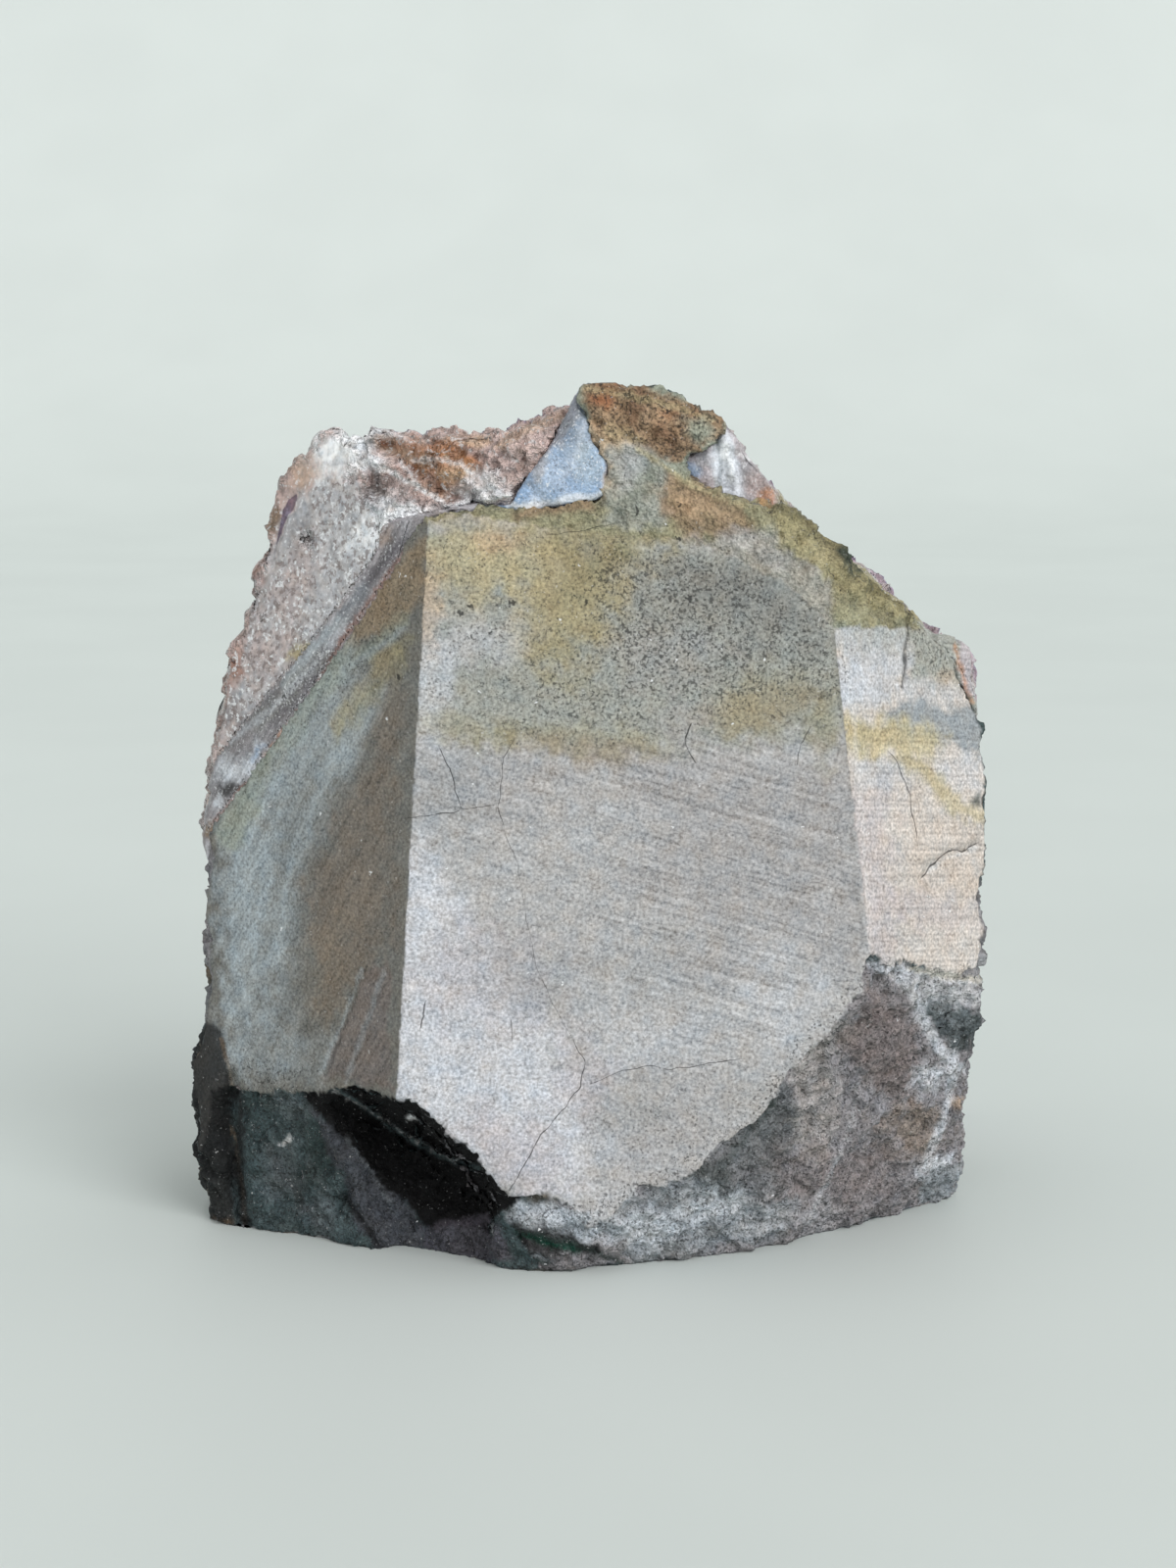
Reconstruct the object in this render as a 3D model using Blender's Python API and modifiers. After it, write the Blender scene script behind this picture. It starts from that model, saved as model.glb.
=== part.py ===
"""Amethyst cluster: a block of geode wall with a flat sawn base and three sawn faces at its back.

The cluster stands on its base with the sawn back towards -Y and the crystals towards +Y. It has
three bodies that grew on each other, from the back of the cluster to its crystals:

    basalt_matrix    the host rock, sawn on three faces and chipped below them
    chalcedony_band  the thin agate layer that lines the cavity
    amethyst_druse   the quartz bed and the crystals that grew together on it

Sizes are in millimetres here and are scaled to metres when the meshes are made.
"""
import math
import random

import bmesh
import bpy
from mathutils import Matrix, Vector, noise

MM = 0.001
OBJECT_NAME = "amethyst_cluster"

# The rims are drawn on an upright sheet through AIM, square to the line from EYE, and run back
# along the lines that leave EYE, so from EYE the cluster has exactly these outlines.
EYE = Vector((0.0, -424.0, 127.0))
AIM = Vector((0.0, -29.5, 61.0))
NEAR = -24.0
FAR = 90.0

# Rims as (right, up) on the sheet. The left and right sides are shared by the three layers.
LEFT_RIM = [
    (-47.0, -66.0), (-47.2, -56.0), (-49.4, -44.0), (-50.2, -35.6), (-48.5, -30.6), (-47.8, -25.0),
    (-48.0, -16.0), (-48.5, -6.0), (-48.1, 0.0), (-46.0, 11.2),
]
RIGHT_RIM = [
    (49.8, 7.5), (50.4, -3.8), (49.8, -12.5), (49.8, -27.5), (48.8, -32.5), (47.5, -38.8),
    (47.2, -43.8), (47.8, -48.8), (46.8, -53.0), (46.0, -66.0),
]
ROCK_CREST = [
    (-30.0, 22.0), (-23.4, 29.6), (-19.9, 33.9), (-16.2, 35.0), (-12.5, 35.2), (-8.8, 34.2),
    (-4.1, 35.5), (-0.8, 36.0), (2.1, 36.9), (2.5, 41.1), (0.6, 43.5), (-0.1, 46.6), (-0.8, 50.2),
    (0.0, 51.0), (5.9, 50.2), (9.0, 49.9), (11.8, 48.2), (16.9, 46.6), (17.0, 44.5), (13.8, 42.8),
    (10.1, 40.9), (13.0, 38.6), (15.8, 37.1), (21.4, 35.1), (25.8, 35.2), (28.8, 33.1),
    (33.8, 29.4), (38.1, 26.2), (41.2, 21.9), (43.1, 19.0), (45.5, 18.2), (46.9, 12.5),
]
BAND_CREST = [
    (-40.0, 25.0), (-30.0, 33.0), (-20.0, 34.8), (-16.0, 36.0), (-9.8, 35.8), (-7.8, 39.2),
    (-5.4, 42.4), (-3.1, 46.6), (-1.2, 51.0), (-0.4, 50.8), (2.0, 49.5), (8.0, 48.5), (14.0, 46.4),
    (17.2, 46.3), (18.1, 44.9), (19.8, 42.0), (21.2, 40.9), (23.2, 38.5), (24.5, 36.0),
    (28.8, 32.0), (33.8, 28.2), (38.1, 25.0), (41.0, 21.5), (43.5, 18.5), (46.9, 18.4),
    (48.5, 17.5), (49.1, 12.5),
]
DRUSE_CREST = [
    (-45.0, 16.2), (-42.2, 23.8), (-40.6, 30.0), (-39.4, 36.2), (-37.5, 40.0), (-34.4, 43.1),
    (-31.9, 45.0), (-25.0, 44.4), (-13.1, 43.8), (-8.8, 45.0), (-5.0, 46.5), (-3.1, 46.9),
    (-1.5, 48.0), (4.0, 48.2), (9.0, 47.2), (14.0, 45.2), (17.0, 44.0), (19.0, 41.0),
    (23.0, 37.5), (28.8, 31.5), (33.8, 27.5), (38.1, 24.5), (41.0, 21.0), (43.5, 18.0),
    (46.5, 17.8), (48.2, 16.8), (48.8, 12.0),
]
# Where a layer breaks forward over the one before it: columns of the sheet that start on the
# crest of the layer before and are open past the rim.
QUARTZ_LIP = [(-40.0, 60.0), (-2.0, 60.0), (-2.0, 49.0)] + BAND_CREST[7:0:-1] + [(-36.0, 38.0)]
BAND_CHIP = [(-12.0, 60.0), (-0.8, 60.0)] + ROCK_CREST[12:4:-1] + [(-12.0, 36.0)]

# The contact between rock and band, as (height, depth, thickness of the band behind it), and how
# the layers swing back towards +X.
LAYERS = [
    (-45.0, 28.6, 6.2), (25.0, 2.3, 6.2), (55.0, -12.3, 5.8), (80.0, -24.4, 3.6),
    (90.0, -28.8, 3.0), (97.0, -29.6, 3.2), (104.0, -29.2, 3.6), (122.0, -27.8, 4.0),
]
LAYER_SWING = math.radians(4.6)
QUARTZ_BED = 7.0
HALF_SPAN = 90.0
FRONT_LIMIT = -90.0
BACK_LIMIT = 150.0

# Neighbouring layers keep a gap. A layer is roughened this much oversize and is cut back after,
# and the crystals stay this far inside its sides.
GAP = 0.3
SPARE = 1.5
RIM_INSET = 0.4
PAST_RIM = 10.0

# Sawn faces, each as a point on it and the way it faces, and the side of the block that cuts them.
SAW_REACH = 300.0
BACK_SAW = (Vector((-5.0, -42.5, 7.0)), Vector((0.0, -0.9945, 0.1045)))
LEFT_SAW = (Vector((-24.1, -40.8, 23.4)), Vector((-0.622, -0.774, 0.118)))
RIGHT_SAW = (Vector((35.5, -39.1, 39.5)), Vector((0.710, -0.686, 0.152)))
BASE_SAW = (Vector((0.0, 0.0, 0.0)), Vector((0.0, 0.0, -1.0)))

# Broken faces. The block is bounded by the first list. Each chip is a lump knocked out of it,
# given by points on the broken face that it left.
SIDE_BREAKS = [
    (Vector((-52.4, -16.0, 0.0)), Vector((-0.992, 0.125, 0.0))),
    (Vector((53.0, -18.0, 0.0)), Vector((0.992, 0.125, 0.0))),
]
UNDERCUTS = [
    (Vector((-1.2, -41.0, 0.0)), Vector((-0.052, -0.987, -0.151))),
    (Vector((11.4, -35.9, 0.0)), Vector((0.290, -0.878, -0.380))),
    (Vector((32.5, -23.6, 0.0)), Vector((0.595, -0.735, -0.325))),
]
SHOULDER_BREAK = (Vector((30.8, -34.5, 83.5)), Vector((0.698, -0.570, 0.432)))
CHIPS = {
    "left_chip": [
        (-50.5, -19.6, 20.6), (-47.2, -22.2, 21.0), (-34.0, -32.8, 22.5), (-50.0, -20.5, -4.0),
        (-44.4, -26.2, -4.0), (-34.6, -28.9, -4.0), (-25.5, -31.8, -4.0),
    ],
    "hollow_chip": [
        (-35.0, -31.8, 21.6), (-30.6, -35.3, 23.6), (-24.1, -40.6, 23.6), (-19.8, -41.0, 21.6),
        (-13.6, -41.6, 15.4), (-10.5, -42.1, 10.4), (-31.0, -28.0, 18.0), (-24.0, -26.5, 9.0),
        (-13.0, -33.5, 6.5), (-25.5, -31.8, -4.0), (-13.0, -38.2, -4.0),
    ],
}
CHIP_REACH = Vector((-22.0, -34.0, -6.0))
LIP_BREAK = (Vector((-9.5, -32.8, 97.0)), Vector((-0.327, -0.858, 0.394)))
BAND_BREAK = (Vector((-3.0, -32.9, 97.6)), Vector((-0.10, -0.975, 0.20)))

# Roughness of the broken faces: fractal noise, and the number of triangles that keep it.
VOXEL = 1.5
ROUGH_DEPTH = 1.1
ROUGH_SCALE = 7.0
ROUGH_FALLOFF = 0.8
ROUGH_LACUNARITY = 2.1
ROUGH_OCTAVES = 4
ROCK_FACES = 9000
BAND_FACES = 3400
BED_FACES = 1900

# Crystals: six-sided prisms with pointed tips, rooted in the quartz bed in staggered rows.
# SHAFT, TIP and TIP_ASIDE are in radii of the crystal.
CRYSTALS = "crystal_field"
CRYSTAL_SEED = 11
CRYSTAL_SPACING = 12.2
ROW_SPACING = 0.87 * CRYSTAL_SPACING
COLUMNS_EACH_SIDE = 6
CRYSTAL_RADIUS = (4.8, 8.0)
WANDER = 1.6
LEAN = 0.6 * math.tan(math.radians(20.0))
ROOT_DEPTH = 3.0
SHAFT = (0.4, 0.95)
TIP = (1.0, 1.35)
TIP_ASIDE = 0.3
FLATTENING = (0.78, 1.0)

COLOURS = {
    "basalt_matrix": ((0.42, 0.39, 0.38, 1.0), 0.75),
    "chalcedony_band": ((0.47, 0.48, 0.55, 1.0), 0.40),
    "amethyst_druse": ((0.42, 0.25, 0.55, 1.0), 0.20),
}


def clear_scene():
    """Remove every object of the open scene."""
    for obj in list(bpy.data.objects):
        bpy.data.objects.remove(obj)


def new_collection(name, shown):
    """Make a collection for the parts, or a hidden one for what only shapes them."""
    collection = bpy.data.collections.new(name)
    collection.hide_render = not shown
    bpy.context.scene.collection.children.link(collection)
    return collection


def new_object(name, bm, collection):
    """Turn a bmesh in millimetres into an object of the same size in metres."""
    bmesh.ops.recalc_face_normals(bm, faces=bm.faces)
    bmesh.ops.scale(bm, vec=Vector((MM, MM, MM)), verts=bm.verts)
    mesh = bpy.data.meshes.new(name)
    bm.to_mesh(mesh)
    bm.free()
    obj = bpy.data.objects.new(name, mesh)
    collection.objects.link(obj)
    return obj


def as_guide(obj):
    """Show a cutter as wire, and leave it out of renders."""
    obj.hide_render = True
    obj.display_type = "WIRE"
    return obj


def bake(obj):
    """Replace an object's mesh by the one that its modifiers make."""
    graph = bpy.context.evaluated_depsgraph_get()
    mesh = bpy.data.meshes.new_from_object(obj.evaluated_get(graph))
    obj.modifiers.clear()
    old = obj.data
    obj.data = mesh
    bpy.data.meshes.remove(old)


def boolean(obj, other, operation, solver="MANIFOLD"):
    """Cut, join or trim an object with another one.

    The rough bodies fold over themselves here and there, which EXACT takes for holes, so they are
    cut with MANIFOLD. EXACT joins the crystals, which overlap inside one mesh.
    """
    modifier = obj.modifiers.new(other.name, "BOOLEAN")
    modifier.operation = operation
    modifier.solver = solver
    if solver == "EXACT":
        modifier.use_self = True
    modifier.object = other
    bake(obj)
    as_guide(other)


def sheet_point(right, up, depth):
    """Give the point behind a place on the sheet, along the line that leaves EYE."""
    forward = (AIM - EYE).normalized()
    across = Vector((1.0, 0.0, 0.0))
    upward = across.cross(forward)
    on_sheet = AIM + right * across + up * upward
    reach = (AIM - EYE).length
    return EYE + (on_sheet - EYE) * (reach + depth) / reach


def grown(outline, margin):
    """Push an outline outward by a margin, corner by corner."""
    points = [Vector(p) for p in outline]
    area = sum(a.x * b.y - b.x * a.y for a, b in zip(points, points[1:] + points[:1]))
    side = 1.0 if area > 0.0 else -1.0
    sharpest_miter = 0.5
    result = []
    for i, point in enumerate(points):
        into = (point - points[i - 1]).normalized()
        out = (points[(i + 1) % len(points)] - point).normalized()
        normal = Vector((into.y + out.y, -into.x - out.x)).normalized() * side
        miter = max(sharpest_miter, normal.dot(Vector((out.y, -out.x)) * side))
        result.append(tuple(point + normal * margin / miter))
    return result


def tapered_block(name, outline, near, far, collection):
    """Run an outline of the sheet from one depth to another."""
    bm = bmesh.new()
    face = bm.faces.new([bm.verts.new(sheet_point(u, v, near)) for u, v in outline])
    swept = bmesh.ops.extrude_face_region(bm, geom=[face])
    reach = (AIM - EYE).length
    for vert in (g for g in swept["geom"] if isinstance(g, bmesh.types.BMVert)):
        vert.co = EYE + (vert.co - EYE) * (reach + far) / (reach + near)
    return new_object(name, bm, collection)


def through_block(name, outline, collection):
    """Run an outline of the sheet right through the cluster, and past it."""
    return tapered_block(name, outline, NEAR - PAST_RIM, FAR + PAST_RIM, collection)


def layer_line(behind_band, offset):
    """List the (depth, height) corners of a contact, moved back by an offset."""
    return [(y + (thick if behind_band else 0.0) + offset, z) for z, y, thick in LAYERS]


def layer_block(name, front, back, collection):
    """Run the space between two contact lines across the cluster, along the swing of the layers."""
    bm = bmesh.new()
    ring = front + back[::-1]
    face = bm.faces.new([bm.verts.new((-HALF_SPAN, y, z)) for y, z in ring])
    swept = bmesh.ops.extrude_face_region(bm, geom=[face])
    verts = [g for g in swept["geom"] if isinstance(g, bmesh.types.BMVert)]
    bmesh.ops.translate(bm, verts=verts, vec=(2.0 * HALF_SPAN, 0.0, 0.0))
    swing = Matrix.Rotation(LAYER_SWING, 3, "Z")
    bmesh.ops.rotate(bm, verts=bm.verts, cent=(0.0, 0.0, 0.0), matrix=swing)
    return new_object(name, bm, collection)


def straight_line(depth):
    """List a contact line that stands upright at one depth, with the heights of LAYERS."""
    return [(depth, z) for z, _, _ in LAYERS]


def saw(obj, cut, collection):
    """Take away what lies beyond a plane, with a large block that has one side on it."""
    point, normal = cut
    bm = bmesh.new()
    turn = normal.to_track_quat("Z", "Y").to_matrix().to_4x4()
    middle = Matrix.Translation(point + normal * SAW_REACH / 2.0)
    bmesh.ops.create_cube(bm, size=SAW_REACH, matrix=middle @ turn)
    boolean(obj, new_object(f"saw_{obj.name}", bm, collection), "DIFFERENCE")


def keep_largest(obj):
    """Drop the crumbs that the cuts leave beside the main body, and split its faces evenly.

    A point with only two edges lies between two faces along one straight line. It goes first,
    because it would leave both of them a triangle with no area.
    """
    bm = bmesh.new()
    bm.from_mesh(obj.data)
    unseen = set(bm.verts)
    bodies = []
    while unseen:
        stack = [unseen.pop()]
        body = list(stack)
        while stack:
            vert = stack.pop()
            for edge in vert.link_edges:
                other = edge.other_vert(vert)
                if other in unseen:
                    unseen.remove(other)
                    stack.append(other)
                    body.append(other)
        bodies.append(body)
    bodies.sort(key=len)
    crumbs = [vert for body in bodies[:-1] for vert in body]
    bmesh.ops.delete(bm, geom=crumbs, context="VERTS")
    needless = [vert for vert in bm.verts if len(vert.link_edges) == 2]
    bmesh.ops.dissolve_verts(bm, verts=needless)
    bmesh.ops.triangulate(bm, faces=bm.faces)
    bm.to_mesh(obj.data)
    bm.free()


def weather(obj, faces):
    """Roughen a block all over, and thin its mesh to about a number of triangles."""
    remesh = obj.modifiers.new("grain", "REMESH")
    remesh.mode = "VOXEL"
    remesh.voxel_size = VOXEL * MM
    bake(obj)
    mesh = obj.data
    moved = []
    for vert in mesh.vertices:
        place = vert.co / (ROUGH_SCALE * MM)
        height = noise.fractal(place, ROUGH_FALLOFF, ROUGH_LACUNARITY, ROUGH_OCTAVES)
        moved.append(vert.co + vert.normal * height * ROUGH_DEPTH * MM)
    for vert, place in zip(mesh.vertices, moved):
        vert.co = place
    thin = obj.modifiers.new("thin", "DECIMATE")
    thin.ratio = min(1.0, faces / (2.0 * len(mesh.polygons)))
    bake(obj)


def chip_cutter(name, points, collection):
    """Make the lump that a chip took away: its broken face, and the same face moved outward."""
    bm = bmesh.new()
    for point in points:
        bm.verts.new(point)
        bm.verts.new(Vector(point) + CHIP_REACH)
    hull = bmesh.ops.convex_hull(bm, input=bm.verts)
    bmesh.ops.delete(bm, geom=hull["geom_interior"], context="VERTS")
    return new_object(name, bm, collection)


def build_rock(parts, cutters):
    """Basalt: a rough block, chipped below, sawn on three faces and on the base."""
    rock = tapered_block("basalt_matrix", LEFT_RIM + ROCK_CREST + RIGHT_RIM, NEAR, FAR, parts)
    for cut in SIDE_BREAKS + UNDERCUTS + [SHOULDER_BREAK]:
        saw(rock, cut, cutters)
    for name, points in CHIPS.items():
        boolean(rock, chip_cutter(name, points, cutters), "DIFFERENCE")
    weather(rock, ROCK_FACES)
    leave_room(rock, BAND_CHIP, cutters)
    beyond = layer_block("beyond_rock", layer_line(False, 0.0), straight_line(BACK_LIMIT), cutters)
    boolean(rock, beyond, "DIFFERENCE")
    finish(rock, cutters)
    return rock


def layer_body(name, crest, lip, front, back, parts, cutters):
    """Make the rough block of a layer between two contact lines, with its lip in front of them."""
    body = tapered_block(name, LEFT_RIM + crest + RIGHT_RIM, NEAR, FAR, parts)
    for cut in SIDE_BREAKS:
        saw(body, cut, cutters)
    before = layer_block(f"before_{name}", straight_line(FRONT_LIMIT), front, cutters)
    column = through_block(f"lip_{name}", lip, cutters)
    boolean(before, column, "DIFFERENCE")
    boolean(body, before, "DIFFERENCE")
    behind = layer_block(f"behind_{name}", back, straight_line(BACK_LIMIT), cutters)
    boolean(body, behind, "DIFFERENCE")
    return body


def leave_room(obj, lip, cutters):
    """Cut a layer back to where the lip of the layer behind it starts."""
    room = through_block(f"room_{obj.name}", grown(lip, GAP / 2.0), cutters)
    boolean(obj, room, "DIFFERENCE")


def keep_gap(obj, other, cutters):
    """Cut an object clear of a finished one, with a copy of that one swollen by the gap."""
    swollen = other.copy()
    swollen.data = other.data.copy()
    swollen.name = f"swollen_{other.name}"
    cutters.objects.link(swollen)
    for vert in swollen.data.vertices:
        vert.co += vert.normal * GAP * MM
    boolean(obj, swollen, "DIFFERENCE")


def clear_of(obj, crest, contact, cutters):
    """Cut a layer back to its contact wherever the layer in front of it covers it."""
    outline = grown(LEFT_RIM + crest + RIGHT_RIM, GAP / 2.0)
    space = through_block(f"space_{obj.name}", outline, cutters)
    front = layer_block(f"front_{obj.name}", straight_line(FRONT_LIMIT), contact, cutters)
    boolean(space, front, "INTERSECT")
    boolean(obj, space, "DIFFERENCE")


def build_band(rock, parts, cutters):
    """Chalcedony: the layer behind the rock, with a chip that stands beside the rock's peak."""
    front = layer_line(False, GAP - SPARE)
    back = layer_line(True, SPARE)
    band = layer_body("chalcedony_band", BAND_CREST, BAND_CHIP, front, back, parts, cutters)
    saw(band, BAND_BREAK, cutters)
    weather(band, BAND_FACES)
    leave_room(band, QUARTZ_LIP, cutters)
    clear_of(band, ROCK_CREST, layer_line(False, GAP), cutters)
    keep_gap(band, rock, cutters)
    beyond = layer_block("beyond_band", layer_line(True, 0.0), straight_line(BACK_LIMIT), cutters)
    boolean(band, beyond, "DIFFERENCE")
    finish(band, cutters)
    return band


def add_crystal(bm, foot, axis, radius, shaft, tip, rng):
    """Add one crystal: a six-sided shaft with a point set a little off its axis."""
    turn = axis.to_track_quat("Z", "Y").to_matrix().to_4x4()
    spin = Matrix.Rotation(rng.uniform(0.0, math.tau), 4, "Z")
    flatten = Matrix.Diagonal((1.0, rng.uniform(*FLATTENING), 1.0, 1.0))
    place = Matrix.Translation(foot) @ turn @ spin @ flatten
    middle = Matrix.Translation((0.0, 0.0, shaft / 2.0))
    ring = bmesh.ops.create_cone(
        bm, cap_ends=True, segments=6, radius1=radius, radius2=radius, depth=shaft,
        matrix=place @ middle,
    )
    sides = {face for vert in ring["verts"] for face in vert.link_faces}
    cap = max(sides, key=lambda face: face.calc_center_median().dot(axis))
    point = bmesh.ops.poke(bm, faces=[cap])["verts"][0]
    shift = Vector((rng.uniform(-TIP_ASIDE, TIP_ASIDE), rng.uniform(-TIP_ASIDE, TIP_ASIDE), 0.0))
    aside = (turn @ spin @ shift) * radius
    point.co += axis * tip + aside


def crystal_field(collection):
    """Spread crystals in staggered rows over the outer side of the quartz bed."""
    rng = random.Random(CRYSTAL_SEED)
    swing = Matrix.Rotation(LAYER_SWING, 3, "Z")
    line = [Vector((0.0, y, z)) for y, z in layer_line(True, GAP + QUARTZ_BED)]
    bm = bmesh.new()
    row = 0
    for start, end in zip(line, line[1:]):
        along = (end - start).normalized()
        outward = Vector((0.0, along.z, -along.y))
        steps = max(1, round((end - start).length / ROW_SPACING))
        for step in range(steps):
            base = start.lerp(end, (step + 0.5) / steps)
            row += 1
            for column in range(-COLUMNS_EACH_SIDE, COLUMNS_EACH_SIDE + 1):
                across = (column + 0.5 * (row % 2)) * CRYSTAL_SPACING
                wander = Vector((rng.uniform(-WANDER, WANDER), 0.0, 0.0))
                wander += along * rng.uniform(-WANDER, WANDER)
                radius = rng.uniform(*CRYSTAL_RADIUS)
                lean = Vector((rng.gauss(0.0, 1.0), 0.0, 0.0)) + along * rng.gauss(0.0, 1.0)
                axis = swing @ (outward + lean * LEAN).normalized()
                foot = swing @ (base + Vector((across, 0.0, 0.0)) + wander) - axis * ROOT_DEPTH
                shaft = ROOT_DEPTH + radius * rng.uniform(*SHAFT)
                add_crystal(bm, foot, axis, radius, shaft, radius * rng.uniform(*TIP), rng)
    return new_object(CRYSTALS, bm, collection)


def build_druse(band, parts, cutters):
    """Amethyst: the quartz bed behind the band, its broken lip in front, and the crystals."""
    front = layer_line(True, GAP - SPARE)
    back = layer_line(True, GAP + QUARTZ_BED)
    druse = layer_body("amethyst_druse", DRUSE_CREST, QUARTZ_LIP, front, back, parts, cutters)
    saw(druse, LIP_BREAK, cutters)
    weather(druse, BED_FACES)
    crystals = crystal_field(cutters)
    outline = grown(LEFT_RIM + DRUSE_CREST + RIGHT_RIM, -RIM_INSET)
    rim = tapered_block("druse_rim", outline, NEAR, FAR, cutters)
    for point, normal in SIDE_BREAKS:
        saw(rim, (point - normal * RIM_INSET, normal), cutters)
    boolean(crystals, rim, "INTERSECT", "EXACT")
    boolean(druse, crystals, "UNION")
    clear_of(druse, BAND_CREST, layer_line(True, GAP), cutters)
    keep_gap(druse, band, cutters)
    finish(druse, cutters)
    return druse


def finish(obj, cutters):
    """Saw a layer's back and base, and give it its colour."""
    for cut in (BACK_SAW, LEFT_SAW, RIGHT_SAW, BASE_SAW):
        saw(obj, cut, cutters)
    keep_largest(obj)
    colour, roughness = COLOURS[obj.name]
    material = bpy.data.materials.new(obj.name)
    material.use_nodes = True
    shader = material.node_tree.nodes["Principled BSDF"]
    shader.inputs["Base Color"].default_value = colour
    shader.inputs["Roughness"].default_value = roughness
    shader.inputs["Metallic"].default_value = 0.0
    obj.data.materials.clear()
    obj.data.materials.append(material)


def main():
    """Build the three bodies."""
    clear_scene()
    parts = new_collection(OBJECT_NAME, True)
    cutters = new_collection("cutters", False)
    rock = build_rock(parts, cutters)
    band = build_band(rock, parts, cutters)
    build_druse(band, parts, cutters)


main()
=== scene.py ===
"""Looks of the amethyst cluster: sawn basalt, agate band, quartz bed and clear crystals.

Work on the meshes is in millimetres. Places on the front of the cluster are counted on an
upright sheet, in steps of an eighth of a millimetre from the sheet's top left corner.
"""

import logging
import math
import random
from dataclasses import dataclass
from enum import Enum
from functools import cached_property
from typing import Callable

import bmesh
import bpy
import numpy as np
from mathutils import Matrix, Vector
from mathutils.bvhtree import BVHTree

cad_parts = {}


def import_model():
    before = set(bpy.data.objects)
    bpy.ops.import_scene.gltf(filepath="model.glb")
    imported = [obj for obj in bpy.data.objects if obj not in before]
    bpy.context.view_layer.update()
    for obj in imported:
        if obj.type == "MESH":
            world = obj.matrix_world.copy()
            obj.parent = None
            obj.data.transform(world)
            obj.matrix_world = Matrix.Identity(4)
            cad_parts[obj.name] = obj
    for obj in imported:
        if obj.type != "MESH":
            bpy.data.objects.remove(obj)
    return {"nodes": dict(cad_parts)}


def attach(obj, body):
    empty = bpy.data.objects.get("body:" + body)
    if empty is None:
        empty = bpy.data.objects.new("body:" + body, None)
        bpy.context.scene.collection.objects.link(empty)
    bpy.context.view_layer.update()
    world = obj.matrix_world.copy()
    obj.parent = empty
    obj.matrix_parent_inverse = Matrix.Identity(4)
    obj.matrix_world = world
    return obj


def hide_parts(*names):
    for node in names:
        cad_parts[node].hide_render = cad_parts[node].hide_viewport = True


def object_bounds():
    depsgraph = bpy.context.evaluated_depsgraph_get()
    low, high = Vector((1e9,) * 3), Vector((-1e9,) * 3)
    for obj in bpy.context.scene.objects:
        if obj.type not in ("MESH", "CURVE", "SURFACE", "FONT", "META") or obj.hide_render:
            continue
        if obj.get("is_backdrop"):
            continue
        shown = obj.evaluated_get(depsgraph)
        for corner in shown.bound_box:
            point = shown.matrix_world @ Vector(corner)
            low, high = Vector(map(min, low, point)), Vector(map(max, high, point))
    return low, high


LOG = logging.getLogger("amethyst_cluster")
MM = 0.001
ROOT = "root"
FAR_AWAY = 99.0

Points = np.ndarray
Values = np.ndarray
Place = tuple[float, float]
Box = tuple[Vector, Vector]
Socket = bpy.types.NodeSocket


def smooth_step(low: float, high: float, values: Values) -> Values:
    """Ease values from 0 at one limit to 1 at the other, whichever of the two is higher."""
    t = np.clip((values - low) / (high - low), 0.0, 1.0)
    return t * t * (3.0 - 2.0 * t)


def linear(rgb: tuple[int, int, int]) -> np.ndarray:
    """Turn a display colour from 0 to 255 into the linear values that a shader takes."""
    value = np.array(rgb, float) / 255.0
    return np.where(value <= 0.04045, value / 12.92, ((value + 0.055) / 1.055) ** 2.4)


def rgba(rgb: tuple[int, int, int]) -> tuple[float, float, float, float]:
    """Give a display colour as a shader socket wants it."""
    return (*linear(rgb), 1.0)


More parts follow.
